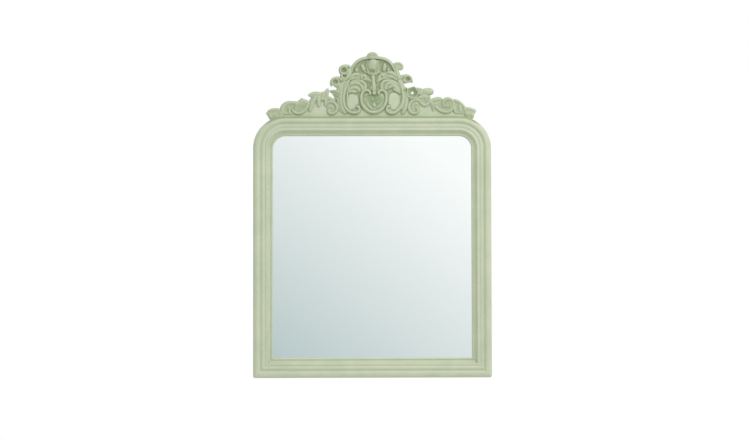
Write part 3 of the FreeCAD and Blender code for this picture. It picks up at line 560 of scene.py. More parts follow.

# %% [markdown]
# Round things, such as the egg, the beads and the open ends of curled leaves, are turned: rings
# about a centre, each with its share of the radius and of the height. A pad is the low ground that
# ribs stand on: its outline is drawn, and its rings shrink towards the middle.

# %% Bosses, cups and pads
egg_rings = [(1, 0), (0.99, 0.22), (0.94, 0.45), (0.84, 0.66), (0.7, 0.81), (0.5, 0.92), (0.28, 0.98),
             (0.1, 1)]
low_rings = [(1, 0), (0.985, 0.5), (0.93, 0.8), (0.82, 0.94), (0.6, 1), (0.3, 1), (0.1, 1)]
field_rings = [(1, 0), (0.99, 0.5), (0.95, 0.8), (0.85, 0.9), (0.6, 0.96), (0.3, 1), (0.1, 1)]
cup_rings = [(1, 0), (0.99, 0.6), (0.94, 0.88), (0.84, 1), (0.72, 0.97), (0.6, 0.8), (0.48, 0.45),
             (0.34, 0.2), (0.18, 0.12), (0.06, 0.1)]
bell_loop = [(1, 0), (1, 0.62), (0.97, 0.92), (0.9, 1), (0.8, 0.9), (0.7, 0.6), (0.58, 0.34), (0.42, 0.2)]
scallop_depth, rim_waves, wave_depth = 0.10, 5, 0.07


def round_angles(count):
    """That many directions, evenly spaced all round."""
    return np.linspace(0, 2 * np.pi, count, endpoint=False)


def lifted(height, foot, share):
    """Height above the board in millimetres = foot + (relief share * height - foot) * share."""
    return foot + (relief_share * height - foot) * share


def on_board(x, up, z, looped=False):
    """A tube of rings whose places stand up millimetres in front of the board."""
    return tube(np.stack([x, board_front - up * mm, z], axis=2), looped)


def boss(centre, radii, height, rings=egg_rings, turn=0.0, foot=sunk_foot, tilt=0.0, lean=90.0, lobes=0):
    """Rings of an ellipse turned by an angle in degrees; lobes scallop its edge.

    height = the ring's height * (1 + tilt * cosine of the angle from the direction lean * ring's radius).
    """
    angle = round_angles(32)
    shares = np.array(rings)
    scallop = 1 - scallop_depth * np.abs(np.sin(lobes * angle / 2)) ** 3
    x = np.outer(shares[:, 0], radii[0] * scallop * np.cos(angle))
    z = np.outer(shares[:, 0], radii[1] * scallop * np.sin(angle))
    c, s = np.cos(np.radians(turn)), np.sin(np.radians(turn))
    middle = on_crest([centre])[0]
    rise = 1 + tilt * np.cos(angle - np.radians(lean)) * shares[:, :1]
    up = lifted(height, foot, shares[:, 1:] * rise)
    flat_x = middle[0] + (x * c - z * s) * square
    flat_z = middle[1] + (x * s + z * c) * square
    return on_board(flat_x, up, flat_z)


def pad(outline, height):
    """A low mound over an outline: low_rings carried from the outline to its middle."""
    stops = on_crest(list(outline) + [outline[0]])
    line = smooth_path(stops, np.linspace(0, 1, 6 * len(outline) + 1))[:-1]
    shares = np.array(low_rings)
    flat = line.mean(0) + shares[:, :1, None] * (line - line.mean(0))
    up = np.repeat(lifted(height, sunk_foot, shares[:, 1:]), len(line), axis=1)
    return on_board(flat[:, :, 0], up, flat[:, :, 1])


def open_bell(centre, radius, hole, height, foot):
    """A bell with a hole right through: a closed loop carried round the centre, its rim wavy."""
    angle = round_angles(40)
    middle = on_crest([centre])[0]
    reach, rise = np.array(bell_loop + [(hole, 0.14), (hole, 0)]).T
    swell = 1 + wave_depth * reach[:, None] * np.cos(rim_waves * angle)
    x = middle[0] + radius * square * reach[:, None] * swell * np.cos(angle)
    z = middle[1] + radius * square * reach[:, None] * swell * np.sin(angle)
    up = np.repeat(lifted(height, foot, rise)[:, None], len(angle), axis=1)
    return on_board(x, up, z, looped=True)


# %% [markdown]
# The drawing of the crest, stroke by stroke, from the hood down to the shoulders. Each entry says
# where the pencil went, how wide the stroke is in squares and how many millimetres it stands
# above the board. Left and right differ on this mirror, so each side has its own strokes.
# Neighbours overlap a little, as cuts of one gouge do, so the valleys stay shallow.

# %% Hood, egg and finial
carvings = {}
carvings["hood_arch"] = [
    stroke([(348.9, 80.8), (349.6, 76.3), (351.2, 70), (354.3, 64.4), (358.7, 60.5), (365, 58.1),
        (372.7, 57.4), (380.4, 57.9), (386.9, 59.9), (391.7, 63.8), (395, 69.3), (397.1, 75.7),
        (397.6, 80.8)], (3, 2.8, 3, 2.8, 2.8), (13, 15, 15, 15, 13), inner_slope),
]
carvings["finial_bud"] = [
    boss((372.6, 55.8), (5.6, 4.05), 13, low_rings, foot=-7, tilt=0.15, lean=-90),
    boss((370.6, 54.9), (2.9, 2.3), 15, egg_rings, 15, foot=-7),
    boss((374.8, 54.8), (2.9, 2.4), 15, egg_rings, -15, foot=-7),
    stroke([(367.2, 57.6), (372.6, 57.2), (378, 57.6)], (1.8, 2.4, 1.8), (12, 14, 12), foot=-7),
]
carvings["egg_cabochon"] = [
    pad([(365.6, 61.6), (369, 60), (373, 59.4), (377.6, 60), (381, 61.4), (377, 62.4), (373, 61.6),
        (369.6, 62.6)], 8),
    boss((372.9, 66.8), (7.4, 8.6), 9, low_rings),
    boss((373.2, 66), (6.0, 7.2), 22, egg_rings, tilt=0.12, lean=95),
    boss((373, 71.9), (3.2, 1.9), 15, cup_rings, foot=4),
    stroke([(367.6, 69), (368.6, 72.6), (373.2, 74.4), (377.8, 72.6), (379, 69)], (2, 2.6, 2.8, 2.6, 2),
        (9, 11, 12, 11, 9)),
]
carvings["left_hood_petals"] = [
    stroke([(365.2, 71.8), (363.4, 68.4), (361.4, 64.4)], (3, 5, 3), (9, 15, 11)),
    stroke([(357.2, 72.8), (356.5, 70), (356.2, 67.4)], (3, 4.2, 2.4), (7, 12, 8)),
    stroke([(363.8, 72.4), (367, 72.4), (369.4, 74)], (1.8, 2.6, 1.8), (6, 9, 6), crisp_rib),
]
carvings["right_hood_petals"] = [
    stroke([(383.6, 72), (384.6, 67.8), (384.9, 63)], (2.8, 4.6, 3), (9, 15, 11)),
    stroke([(388.2, 72.4), (388.6, 69.8), (388.8, 67.4)], (2.4, 3.4, 2), (6, 10, 7)),
    stroke([(382, 72.4), (379.4, 72.6), (377.6, 74)], (1.8, 2.6, 1.8), (6, 9, 6), crisp_rib),
]
carvings["left_hood_leaf"] = [
    pad([(348.6, 81.4), (350.6, 75.6), (354, 73.2), (360, 73.4), (365, 73.4), (368.6, 76.6), (371.4, 83),
        (366.4, 81.4), (360, 80.8), (354, 80.6)], 5),
    stroke([(350.4, 78), (352.6, 75.4), (356.4, 74.3), (360.2, 74.4)], (3.4, 4.4, 4.2, 2.6),
        (9, 12, 12, 8)),
    stroke([(349.8, 80.6), (352.4, 78.6), (355.6, 77.8)], (3, 3.6, 2.4), (8, 10, 7)),
    stroke([(361.6, 79.8), (361.4, 77.4), (363.6, 74.8)], (2.2, 2.8, 2.4), (8, 11, 11)),
    stroke([(363.6, 73.8), (364.9, 76.2), (366.4, 79.4)], (3, 4.6, 2.4), (9, 12, 8)),
    stroke([(363, 80), (366.6, 79.3), (370, 80.4), (371.8, 83)], (1.8, 2.6, 2.8, 1.6), (8, 10, 10, 7)),
]
carvings["right_hood_leaf"] = [
    pad([(398.4, 81.4), (397.6, 76.4), (394, 72.4), (387, 71.8), (381, 72.6), (377.6, 76.2), (375.6, 83),
        (380.6, 80.6), (387, 79.8), (393, 80.2)], 5),
    stroke([(377.6, 80.4), (379.4, 77.6), (380.4, 74.8)], (2.4, 3.2, 2.4), (8, 11, 9)),
    stroke([(379.6, 75.2), (382.4, 74.8), (384.2, 77)], (3.2, 4.8, 2.4), (9, 13, 9)),
    stroke([(386.4, 72.6), (390, 72.8), (394, 74.2), (397.4, 77.6)], (3, 4.8, 4.8, 3), (9, 13, 13, 9)),
    stroke([(386, 76), (390, 76.6), (394, 78.2), (397.4, 81)], (3, 4, 3.6, 2.6), (8, 11, 11, 8)),
    stroke([(383, 78.6), (387.4, 79), (391, 80)], (2, 2.2, 1.8), (6, 8, 6)),
    stroke([(376.8, 83), (378.8, 80.6), (382, 79.7)], (1.6, 2.4, 2), (7, 10, 8)),
]
carvings["centre_stem"] = [
    stroke([(373.1, 74.6), (373.1, 78.6), (373.6, 83.4), (373.9, 92.4)], (4.8, 4, 4.8, 4.6),
        (12, 14, 15, 12)),
    boss((374.2, 93.5), (2.5, 2.4), 11, egg_rings),
    stroke([(370.6, 90.8), (371.2, 87.6), (372, 84.6)], (1.6, 2.4, 1.6), (6, 8, 7)),
    stroke([(368.4, 87.4), (368, 84.6), (368.6, 82)], (1.4, 2.2, 1.4), (3, 5, 3)),
    stroke([(377.2, 88), (377.2, 85.4), (377, 83)], (1.4, 2.2, 1.4), (3, 5, 3)),
]

# %% [markdown]
# Under the hood a heart of two scrolls holds small leaves, fronds fan out to both sides, and a
# large scroll frames an oval boss on each side. Mirroring one half would save work, but the halves
# of this crest differ, so both are drawn. Leaves and fronds are ribs on a pad, because a carver
# sets in the mass first and cuts the ribs into it.

# %% Heart, fronds and side scrolls
heart_left = [(368.8, 95.6), (370.2, 93.4), (368.6, 91), (365.8, 90.4), (362.8, 92.4), (361.3, 96.4),
    (361.6, 101.9), (363.8, 107.2), (368, 110.9), (372.8, 112.6), (377, 112.2)]
heart_right = [(379.5, 95.4), (378.5, 93.4), (379.7, 91.2), (382.5, 90.6), (385.2, 92.4), (386.4, 96.4),
    (385.9, 101.9), (383.8, 107), (379.8, 110.9), (375.2, 112.6), (371.2, 112.2)]
carvings["heart_scroll"] = [
    stroke(line, (3, 3.2, 3.4, 3.8, 4), (13, 13, 14, 14, 13)) for line in (heart_left, heart_right)
]
carvings["heart_leaves"] = [
    pad([(374.2, 111.9), (367, 108.5), (363, 101.3), (363.6, 94.6), (368, 93.4), (374.3, 97.4),
        (380.6, 93.4), (384.6, 94.6), (385.2, 101.3), (381.4, 108.5)], 5),
    stroke([(371.8, 109.9), (369.4, 106.7), (367.4, 103.7), (366.9, 100)], (2.8, 3.2, 3.4, 1.8),
        (8, 10, 10, 7)),
    stroke([(368.6, 110.5), (366, 108), (364, 104.3)], (2, 2.6, 1.6), (6, 8, 6)),
    stroke([(376.6, 109.1), (379.2, 106.3), (382.2, 104.3)], (2.8, 3.2, 1.8), (8, 10, 7)),
    stroke([(378.4, 110.9), (381.4, 107.8), (383.6, 105)], (2, 2.6, 1.6), (7, 9, 6)),
    stroke([(375.9, 104.5), (378.4, 102.4), (381.6, 100.4)], (2.8, 3, 1.8), (9, 10, 7)),
    stroke([(373.2, 102.1), (372.2, 99.5), (370.4, 97.2)], (2.6, 2.8, 2), (9, 10, 7)),
    stroke([(375, 100.8), (376.2, 98.4), (378.6, 97)], (2.4, 2.6, 2), (9, 10, 7)),
    stroke([(382.6, 101.1), (383, 98.4), (382.4, 96)], (1.8, 2.4, 1.8), (6, 8, 6)),
    boss((374.1, 105.4), (2.4, 2.7), 13),
    stroke([(371.2, 106.1), (371.6, 102.8)], (1.8, 1.8), (8, 8)),
]
frond_lines = {
    "left_frond": [
        [(366.4, 88.4), (365.4, 84.9), (362.8, 82.1), (358.4, 80.9), (353.4, 81.6), (349.4, 84)],
        [(362.9, 91.4), (362.5, 88.2), (360.8, 85.4), (357.8, 83.5), (353.8, 83.2), (349.4, 85.6)],
        [(364.6, 91), (365.1, 88.6), (363.6, 85.8)],
        [(359, 92.4), (358.8, 90), (356.4, 88), (353, 87.9), (349.2, 89.4), (347.2, 92)],
        [(356, 93.8), (354, 92), (350.8, 91.4), (348, 93.2)],
    ],
    "right_frond": [
        [(382, 90.4), (381.6, 85.6), (383.6, 82), (389, 80.8), (394.6, 82.2), (398.8, 84.8),
            (401.2, 88.6)],
        [(385.6, 90.4), (386, 86.4), (388.2, 83.7), (392.6, 83.8), (396.6, 86.2), (400.2, 91)],
        [(388.8, 89.4), (389.6, 87.2), (391.8, 85.9), (395.4, 87.2), (398.4, 90.2), (400.6, 94.4)],
        [(392.6, 89.6), (395.6, 90), (398.6, 93)],
    ],
}
frond_pads = {
    "left_frond": [(366.8, 89), (365.6, 83.6), (360.6, 80.2), (353, 80.4), (348, 85), (346.6, 93),
        (350, 92.6), (355.4, 92.4), (361, 92.6)],
    "right_frond": [(381, 90), (381, 84), (385, 80.4), (392, 80.2), (398, 83), (401.6, 89), (401.6, 95),
        (397, 91.4), (391, 88.6), (386, 90.4)],
}
for name, lines in frond_lines.items():
    carvings[name] = [pad(frond_pads[name], 5)]
    carvings[name] += [stroke(line, (3, 3.5, 3.6, 3), (9.5, 11, 11, 8.5)) for line in lines]
carvings["left_side_scroll"] = [
    stroke([(349.2, 79.6), (347, 84.6), (344.8, 90.4), (343.5, 97), (343.8, 103.9), (346.6, 109.7),
        (350.6, 112.5), (355.2, 113.2), (358.6, 111.7), (359.4, 109.1), (357.6, 106.9), (356, 108.2)],
        (3.4, 3.8, 3.6, 3.6, 3.4, 3.2), (13, 14, 14, 13, 13, 14)),
    stroke([(347.2, 80.4), (344, 88), (342, 94.6), (342, 101.9), (344.4, 108.9)], (4.4, 4, 2.4, 2.4, 2.4),
        (11, 11, 9, 9, 8)),
    stroke([(349.4, 84), (348, 90), (347.1, 97), (347.5, 103.5)], (2, 2.2, 2.2, 2), (8, 8, 8, 6)),
]
carvings["right_side_scroll"] = [
    stroke([(397.8, 79.8), (400.6, 84.4), (402.6, 90.4), (403.4, 97), (402.4, 103.9), (399.2, 109.3),
        (394.8, 112.7), (390.6, 113.3), (387.6, 111.7), (386.8, 109.1), (388.3, 106.7), (390.2, 107.8)],
        (3.4, 4, 4.2, 4.2, 3.6, 3.2), (13, 14, 14, 13, 13, 14)),
    stroke([(400.6, 82), (403.6, 88), (405, 95), (404.6, 103.5), (401.6, 110.5)], (3, 3.4, 3.4, 3, 2.4),
        (10, 11, 11, 10, 8)),
    stroke([(398.2, 82.6), (399.8, 87), (401.2, 92.4)], (3.4, 4, 2), (10, 10, 8)),
]
carvings["left_oval_boss"] = [boss((352.4, 102.1), (6.2, 8.9), 5, field_rings, -8)]
carvings["right_oval_boss"] = [boss((394.4, 101.7), (6.6, 9.2), 5, field_rings, 8)]

# %% [markdown]
# Leaves climb the outer stems and curl over at their tips. A sculpted sheet could roll over for
# real. In low relief a curl seen from the front is a cup with a lip, so rings make the cup and one
# stroke round it makes the lip.

# %% Curls on the outer stems
carvings["left_leaf_curls"] = [
    stroke([(346.4, 114.3), (343, 109.7), (341.2, 103.5), (341, 96.6), (341.2, 90.6), (342, 85.4),
        (345, 80.2)], (3.6, 4.8, 5.2, 5.4, 5.6, 4.4), (9, 11, 12, 12, 12, 12)),
    stroke([(342.4, 112.9), (339.2, 107.8), (337.9, 102.4), (337.8, 97.4)], (2, 3, 3.2, 2), (5, 7, 7, 5)),
    stroke([(345.4, 80.6), (348, 76.4), (349.6, 71.8), (349.6, 67.8)], (3.6, 4.6, 4.6, 3.6),
        (12, 14, 14, 10)),
    boss((343.9, 70.4), (5.0, 4.9), 15, cup_rings, 0, tilt=0.16, lean=110, lobes=5),
    stroke([(350.4, 66.8), (347.4, 66.2), (343.5, 66), (340.7, 67.5), (339.8, 70.7), (340.6, 74)],
        (4, 3, 2.4, 2.2, 1.6), (12, 14, 16, 14, 9)),
    boss((344.7, 75.8), (3.7, 3.5), 13, cup_rings, tilt=0.16, lean=200),
    stroke([(341, 74.2), (341.6, 77.6), (344, 79.8), (347, 79.2)], (1.8, 2.2, 2.6, 1.8), (11, 13, 13, 9)),
    boss((335.3, 82), (4.7, 4.2), 14, cup_rings, tilt=0.2, lean=140, lobes=5),
    stroke([(342.4, 82), (340.2, 79), (336.6, 77.9), (333.2, 78.8), (331.3, 81.4), (331, 84.4),
        (331.7, 86.6)], (3.2, 3.2, 2.6, 2.3, 2.2, 1.6), (12, 14, 15, 14, 11, 7)),
    stroke([(334, 85.6), (337, 86.2), (339.6, 84.6), (341, 82)], (2, 2.8, 3, 2.4), (7, 10, 11, 9)),
    stroke([(337.6, 87), (338.4, 89.6), (340.6, 92.4)], (2.6, 3.4, 3), (9, 10, 9)),
    stroke([(339.2, 83), (340, 87), (340.6, 92)], (4, 5, 3.6), (11, 13, 9)),
    pad([(329.4, 91.8), (334, 90.6), (338, 90), (341.6, 91), (341.4, 104.1), (338.4, 103), (335.8, 100.2),
        (333.9, 97.2), (332.4, 94.6)], 6),
    stroke([(341.4, 95.4), (338.8, 92.6), (334.8, 91.6), (329.2, 91.4)], (3.2, 3.6, 3.2, 2.2),
        (9, 11, 10, 7)),
    stroke([(341, 99.5), (338.6, 96.6), (336, 95), (333.4, 94.6)], (2.8, 3, 2.6, 1.8), (9, 10, 9, 7)),
    stroke([(340.8, 103.5), (338.8, 101.1), (336.8, 99.3), (335, 98.4)], (2.6, 2.8, 2.4, 1.8),
        (9, 9.5, 9, 7)),
]
carvings["right_leaf_curls"] = [
    stroke([(401.4, 114.3), (404.8, 109.5), (406.4, 103), (406.4, 96.4), (404.6, 90.4), (402.4, 85),
        (400.8, 79.6)], (3.6, 4.8, 5, 4.6, 3.4, 3.6), (9, 11, 12, 12, 11, 11)),
    stroke([(400.4, 81), (398.6, 76.4), (397, 71.6), (395.8, 67)], (4, 4.6, 4.4, 3.6), (12, 12, 12, 10)),
    boss((398.4, 66.6), (4.2, 3.4), 11, low_rings, -15),
    stroke([(392.8, 67.2), (394.4, 64.9), (397.2, 63.6), (400.2, 64), (402, 66), (401.6, 68.4),
        (399.6, 69.6)], (2.4, 2.8, 2.8, 3, 3, 2.4), (10, 12, 14, 13, 12, 9)),
    stroke([(398.6, 80), (401.4, 77.7), (405, 76), (408.4, 76.2), (410.8, 78.2), (411.9, 81.2),
        (411.9, 83.2)], (3.6, 4.2, 3, 2.8, 2.4, 1.6), (11, 14, 15, 14, 11, 6)),
    boss((408, 79.2), (4.4, 3.9), 13, cup_rings, tilt=0.16, lean=60, lobes=5),
    stroke([(403, 78.6), (404.6, 81.2), (406.7, 83.4)], (4, 4, 2.2), (11, 11, 6)),
    stroke([(400.4, 79.4), (400.6, 83.6), (402, 88.4)], (3, 2.8, 2.6), (13, 13, 10)),
    stroke([(404.2, 93), (405, 89.6), (407.4, 87.9)], (3, 3.2, 2.4), (7, 8, 6)),
]

# %% [markdown]
# Beside the right stem hangs a trumpet flower, pierced in its middle, with a bud. A boolean cut
# would pierce it too, but a closed loop carried round has the hole from the start. The small
# scrolls are one coiled stroke on a pad, and the wing leaves spread their ribs from a stalk.

# %% Flower, small scrolls and wings
carvings["right_trumpet_flower"] = [
    open_bell((412.6, 93), 6.2, 0.2, 15, foot=-3),
    boss((420.6, 91.8), (2.8, 3.8), 10, low_rings, foot=-3),
    stroke([(416, 89.2), (419.6, 89.8)], (4, 4), (8, 8), foot=-3),
    stroke([(421.4, 92.2), (425.4, 92), (429.8, 91.8), (434, 92)], (6.2, 7, 7.4, 6), (9, 11, 11, 9),
        foot=-3),
    stroke([(407.2, 96.6), (411.2, 98.7), (415.4, 98.9), (419.6, 96.8)], (3.4, 4, 4, 3.4),
        (8, 10, 10, 8)),
    stroke([(419, 95.6), (423.6, 94.9), (428.8, 95.6)], (2.4, 3.4, 2.4), (6, 8, 6)),
    stroke([(408.6, 96.6), (407.4, 93.4), (408.2, 90)], (2.6, 3, 2.4), (8, 9, 8)),
]
carvings["left_small_scroll"] = [
    pad([(326, 104.5), (331, 101.9), (336, 105.2), (336.6, 109.9), (333, 113.5), (329, 112.9),
        (327, 108.9)], 3.5),
    stroke([(325.4, 105), (327.4, 102.4), (330.6, 101.6), (334.2, 103), (336.6, 106.1), (337, 109.7),
        (334.8, 112.7), (331.8, 113.8), (329, 112.8), (328.6, 110.7), (330, 110.1)],
        (2.8, 3.4, 3.4, 3.4, 3.2, 3), (8, 9, 10, 10, 9, 10)),
    stroke([(326.8, 108.9), (329, 106.9), (331.6, 106.7), (333.4, 108.7), (333.2, 110.9)], (2.2, 3, 3, 2),
        (6, 7.5, 7.5, 5)),
]
carvings["right_small_scroll"] = [
    pad([(409.4, 106.7), (412, 101.7), (417, 100.6), (420, 104.5), (418, 110.9), (414, 113.3),
        (410, 111.5)], 3.5),
    stroke([(421.6, 101.7), (417.6, 100), (413.8, 100.4), (410.4, 103), (408.9, 107.4), (410, 111.5),
        (413.2, 113.6), (416.6, 113.1), (418, 110.7), (417, 108.7), (415.4, 109.1)],
        (3, 3.4, 3.6, 3.4, 3.2, 3), (8, 9, 10, 10, 9, 10)),
    stroke([(418.4, 105), (415.4, 103.9), (412.7, 105.6), (413.1, 108.9)], (2.2, 3, 3, 2.2),
        (6, 7.5, 7.5, 5)),
]
carvings["left_wing_leaf"] = [
    pad([(309.6, 99.1), (314, 97.4), (313.4, 103.5), (310.4, 111.5), (307.6, 109.3), (308.6, 103.5)],
        4.5),
    pad([(307.8, 95.7), (311.6, 92.9), (317, 92), (321.6, 92.1), (325, 90.6), (327.4, 88.4), (328.7, 92),
        (328.6, 96.6), (332, 99.5), (327, 101.3), (322, 100.8), (317, 100.8), (312.4, 98.9)], 7),
    stroke([(307.9, 95.8), (312.2, 94.4), (317.4, 94.2), (321.6, 95)], (1.8, 4.4, 5.2, 4.4),
        (6, 8.5, 9.5, 8)),
    stroke([(326.8, 98.4), (326.7, 93.6), (327.8, 88.3)], (4, 3.8, 2.6), (9, 9.5, 6)),
    stroke([(323.6, 98), (323.1, 94.6), (324.3, 91.4)], (3.8, 3.6, 2.2), (9, 10, 7)),
    stroke([(317, 95), (314, 99.3), (311.4, 105.6), (309.3, 112.4)], (5, 5.4, 4.4, 2.6), (9, 9.5, 8, 5)),
    stroke([(318.8, 95), (318.5, 100.6), (318.9, 107.4)], (5, 4.8, 3), (9, 10, 7)),
    stroke([(322.6, 96.6), (322.3, 99.1), (321.9, 101.5)], (4, 3.6, 2.6), (9, 9, 6)),
    stroke([(325.8, 97), (325.4, 101.7), (325.4, 106.5)], (4.2, 3.8, 2.6), (9, 9.5, 7)),
    stroke([(334.4, 101.7), (331.6, 99.7), (328.8, 98.4), (325.8, 97.8)], (3, 3.6, 4, 3), (7, 9, 9, 8)),
    boss((333.6, 100.2), (2.2, 1.7), 8, low_rings),
]
carvings["right_wing_leaf"] = [
    pad([(417.6, 99.1), (424, 97.6), (430, 98), (434, 104.5), (434.6, 109.9), (430, 105.2), (425, 106.7),
        (420.6, 103.9)], 4),
    stroke([(417, 98.4), (421, 97.2), (425, 96.8), (429.2, 98)], (3.4, 4.6, 5, 4), (7, 8.5, 9, 8)),
    stroke([(419.6, 100), (421.4, 103.2), (424.6, 105.4), (427.8, 104.1), (429.2, 100.8)],
        (3.4, 3.6, 3.8, 3.6, 3), (7, 8, 9, 9, 7)),
    stroke([(426.2, 98.7), (426.6, 102.1)], (4, 3), (9, 8)),
    stroke([(428.4, 98.9), (431.4, 102.4), (433.2, 106.9), (433.7, 111.7)], (4.4, 4.4, 4, 2.6),
        (8, 9, 8, 5)),
]

# %% [markdown]
# Towards the shoulders the crest runs out in spirals, fluted leaves and a shell at each end. They
# are low, so a pad with a few broad ribs is enough. An array of copies would look stamped, so each
# rib has its own line, width and height.

# %% Spirals, flutes and end shells
carvings["left_wing_spiral"] = [
    pad([(292, 103.5), (297, 101.7), (301, 98.7), (304.6, 100.8), (309.6, 101.9), (307, 107.8),
        (303, 111.5), (298, 113.1), (293, 110.9)], 4.5),
    stroke([(308.8, 101.9), (307, 107.2), (303.4, 111.4), (298.6, 113.4), (294.4, 112.4), (291.9, 109.5),
        (291.9, 105.6)], (3.6, 3.4, 3.6, 3.6, 3.4, 2.8), (8, 9, 10, 10, 9, 8)),
    stroke([(295.4, 110.9), (295.4, 107.6), (297, 104.4), (299.8, 103)], (2.6, 3.4, 3.4, 2.8),
        (7, 9, 9, 6)),
    stroke([(300.4, 110.5), (300.4, 107.4), (302.2, 104.8), (305.2, 104.1)], (2, 3, 3, 2.4),
        (5, 7, 7, 5)),
    stroke([(289.6, 103.5), (293.6, 103), (297.4, 103.2), (300.6, 102.6)], (2.8, 3.8, 3.8, 3),
        (7, 8, 8, 7)),
    stroke([(300.2, 104.5), (301.2, 101.6), (302.2, 98)], (5.4, 5.2, 2.6), (7, 8, 5)),
    stroke([(301.8, 100), (305.4, 102.1), (309.8, 102.6)], (4, 4.8, 3.4), (7, 8, 6)),
]
carvings["right_wing_spiral"] = [
    pad([(431.4, 101.1), (437, 99.1), (444, 99.7), (451, 99.7), (453.6, 104.5), (451.6, 109.9),
        (446.4, 112.3), (440, 110.3), (434.4, 106.1)], 4.5),
    stroke([(434.8, 105.6), (438, 109.1), (442, 111.6), (446.6, 112.4), (450.8, 110.8), (453.2, 107.3),
        (453.6, 103), (451.4, 99.7)], (2.8, 3.4, 3.4, 3.4, 3.4, 3), (7, 9, 10, 10, 9, 8)),
    stroke([(452.6, 100.4), (449, 99.1), (445.6, 99.7), (443.6, 102.4), (443.4, 105.6), (445.2, 108.5)],
        (3, 3.4, 3.4, 3.2, 2.6), (8, 10, 10, 10, 8)),
    boss((447, 105.6), (2.8, 2.6), 9, low_rings),
    stroke([(447.6, 102.5), (450.4, 103.5), (451, 106.1), (449.4, 108.7)], (2, 2.8, 2.8, 2),
        (5, 7, 7, 5)),
    stroke([(430.6, 101.7), (434.4, 100.2), (438, 99.3), (442.6, 99.7)], (3, 4.4, 4.4, 3.2),
        (7, 9, 9, 7)),
    stroke([(433, 105), (435.6, 104.1), (438.4, 105.6)], (2.4, 3, 2.2), (6, 7, 5)),
]
carvings["left_fluted_leaf"] = [
    pad([(280.4, 115.5), (280.2, 108.9), (283, 104.3), (288, 101.9), (294, 102.4), (294, 107.8),
        (292.4, 114.5), (286, 114.9)], 5),
    stroke([(282, 115.3), (281.9, 111.1), (283, 106.9), (286, 103.9), (289.6, 102.8), (293.4, 102.8)],
        (4, 5, 4.6, 3.8, 3), (8, 10.5, 10.5, 9.5, 8)),
    stroke([(289.4, 114.1), (289.3, 110.9), (289.8, 107.8)], (2.8, 3, 2.4), (8, 9.5, 8)),
    stroke([(285.6, 114.3), (285.3, 112.7)], (2.2, 2.2), (6, 6)),
]
carvings["right_fluted_leaf"] = [
    pad([(452.4, 99.5), (457, 100.6), (462, 104.1), (466.4, 108.7), (467, 114.5), (461, 114.3),
        (455, 113.7), (453, 106.7)], 5),
    stroke([(453.6, 100.2), (457.6, 101.7), (461.6, 104.5), (464.6, 107.8)], (2.8, 3.6, 3.4, 3),
        (8, 10, 10, 9)),
    stroke([(459.4, 104.5), (460.6, 108.7), (460.3, 113.3)], (4, 4.4, 3), (9, 10, 7)),
    stroke([(464.2, 106.7), (465.6, 110.3), (466, 114.5)], (3.4, 3.8, 2.8), (9, 10, 7)),
    stroke([(455.4, 113.3), (454.8, 109.9), (455.2, 106.1)], (2.8, 3.2, 2.6), (7, 8.5, 7)),
]
carvings["left_end_shell"] = [
    pad([(265.6, 113.7), (268, 110.5), (272.6, 108.8), (277, 109.2), (281.4, 108.5), (283.6, 112.5),
        (283, 116.9), (278, 119.5), (271, 121.3), (268.8, 118.1)], 7.5),
    stroke([(268, 112.5), (271.4, 110.5), (275.4, 109.9), (279.6, 110.1)], (3, 3.6, 3.6, 3),
        (9, 10, 10, 9)),
    stroke([(271.6, 119.5), (270.2, 115.9), (269.8, 113.1)], (4, 4.6, 4), (6, 10, 10)),
    stroke([(275.6, 118.3), (275, 115.3), (275.2, 112.7)], (3.6, 4, 3.4), (6, 10, 9.5)),
    stroke([(280.2, 116.7), (279.8, 113.9), (280.6, 111.1)], (3.2, 3.6, 3.4), (7, 10, 10)),
]
carvings["right_end_shell"] = [
    pad([(463.6, 108.2), (467, 108), (470.6, 107.6), (472.8, 109.5), (476.4, 111.7), (474.4, 114.9),
        (472.6, 119.5), (468.4, 119.1), (465, 115.3)], 7.5),
    stroke([(465.4, 109.3), (469.4, 109.3), (473, 110.5), (476.3, 111.7)], (3, 3.4, 3.6, 3.2),
        (9, 10, 10, 8)),
    stroke([(468.8, 118.5), (468, 114.9), (467.6, 111.7)], (3.4, 4, 3.4), (6, 10, 9)),
    stroke([(472, 119.3), (472.4, 115.7), (473, 112.5)], (3.6, 4, 3.4), (6, 10, 9)),
]
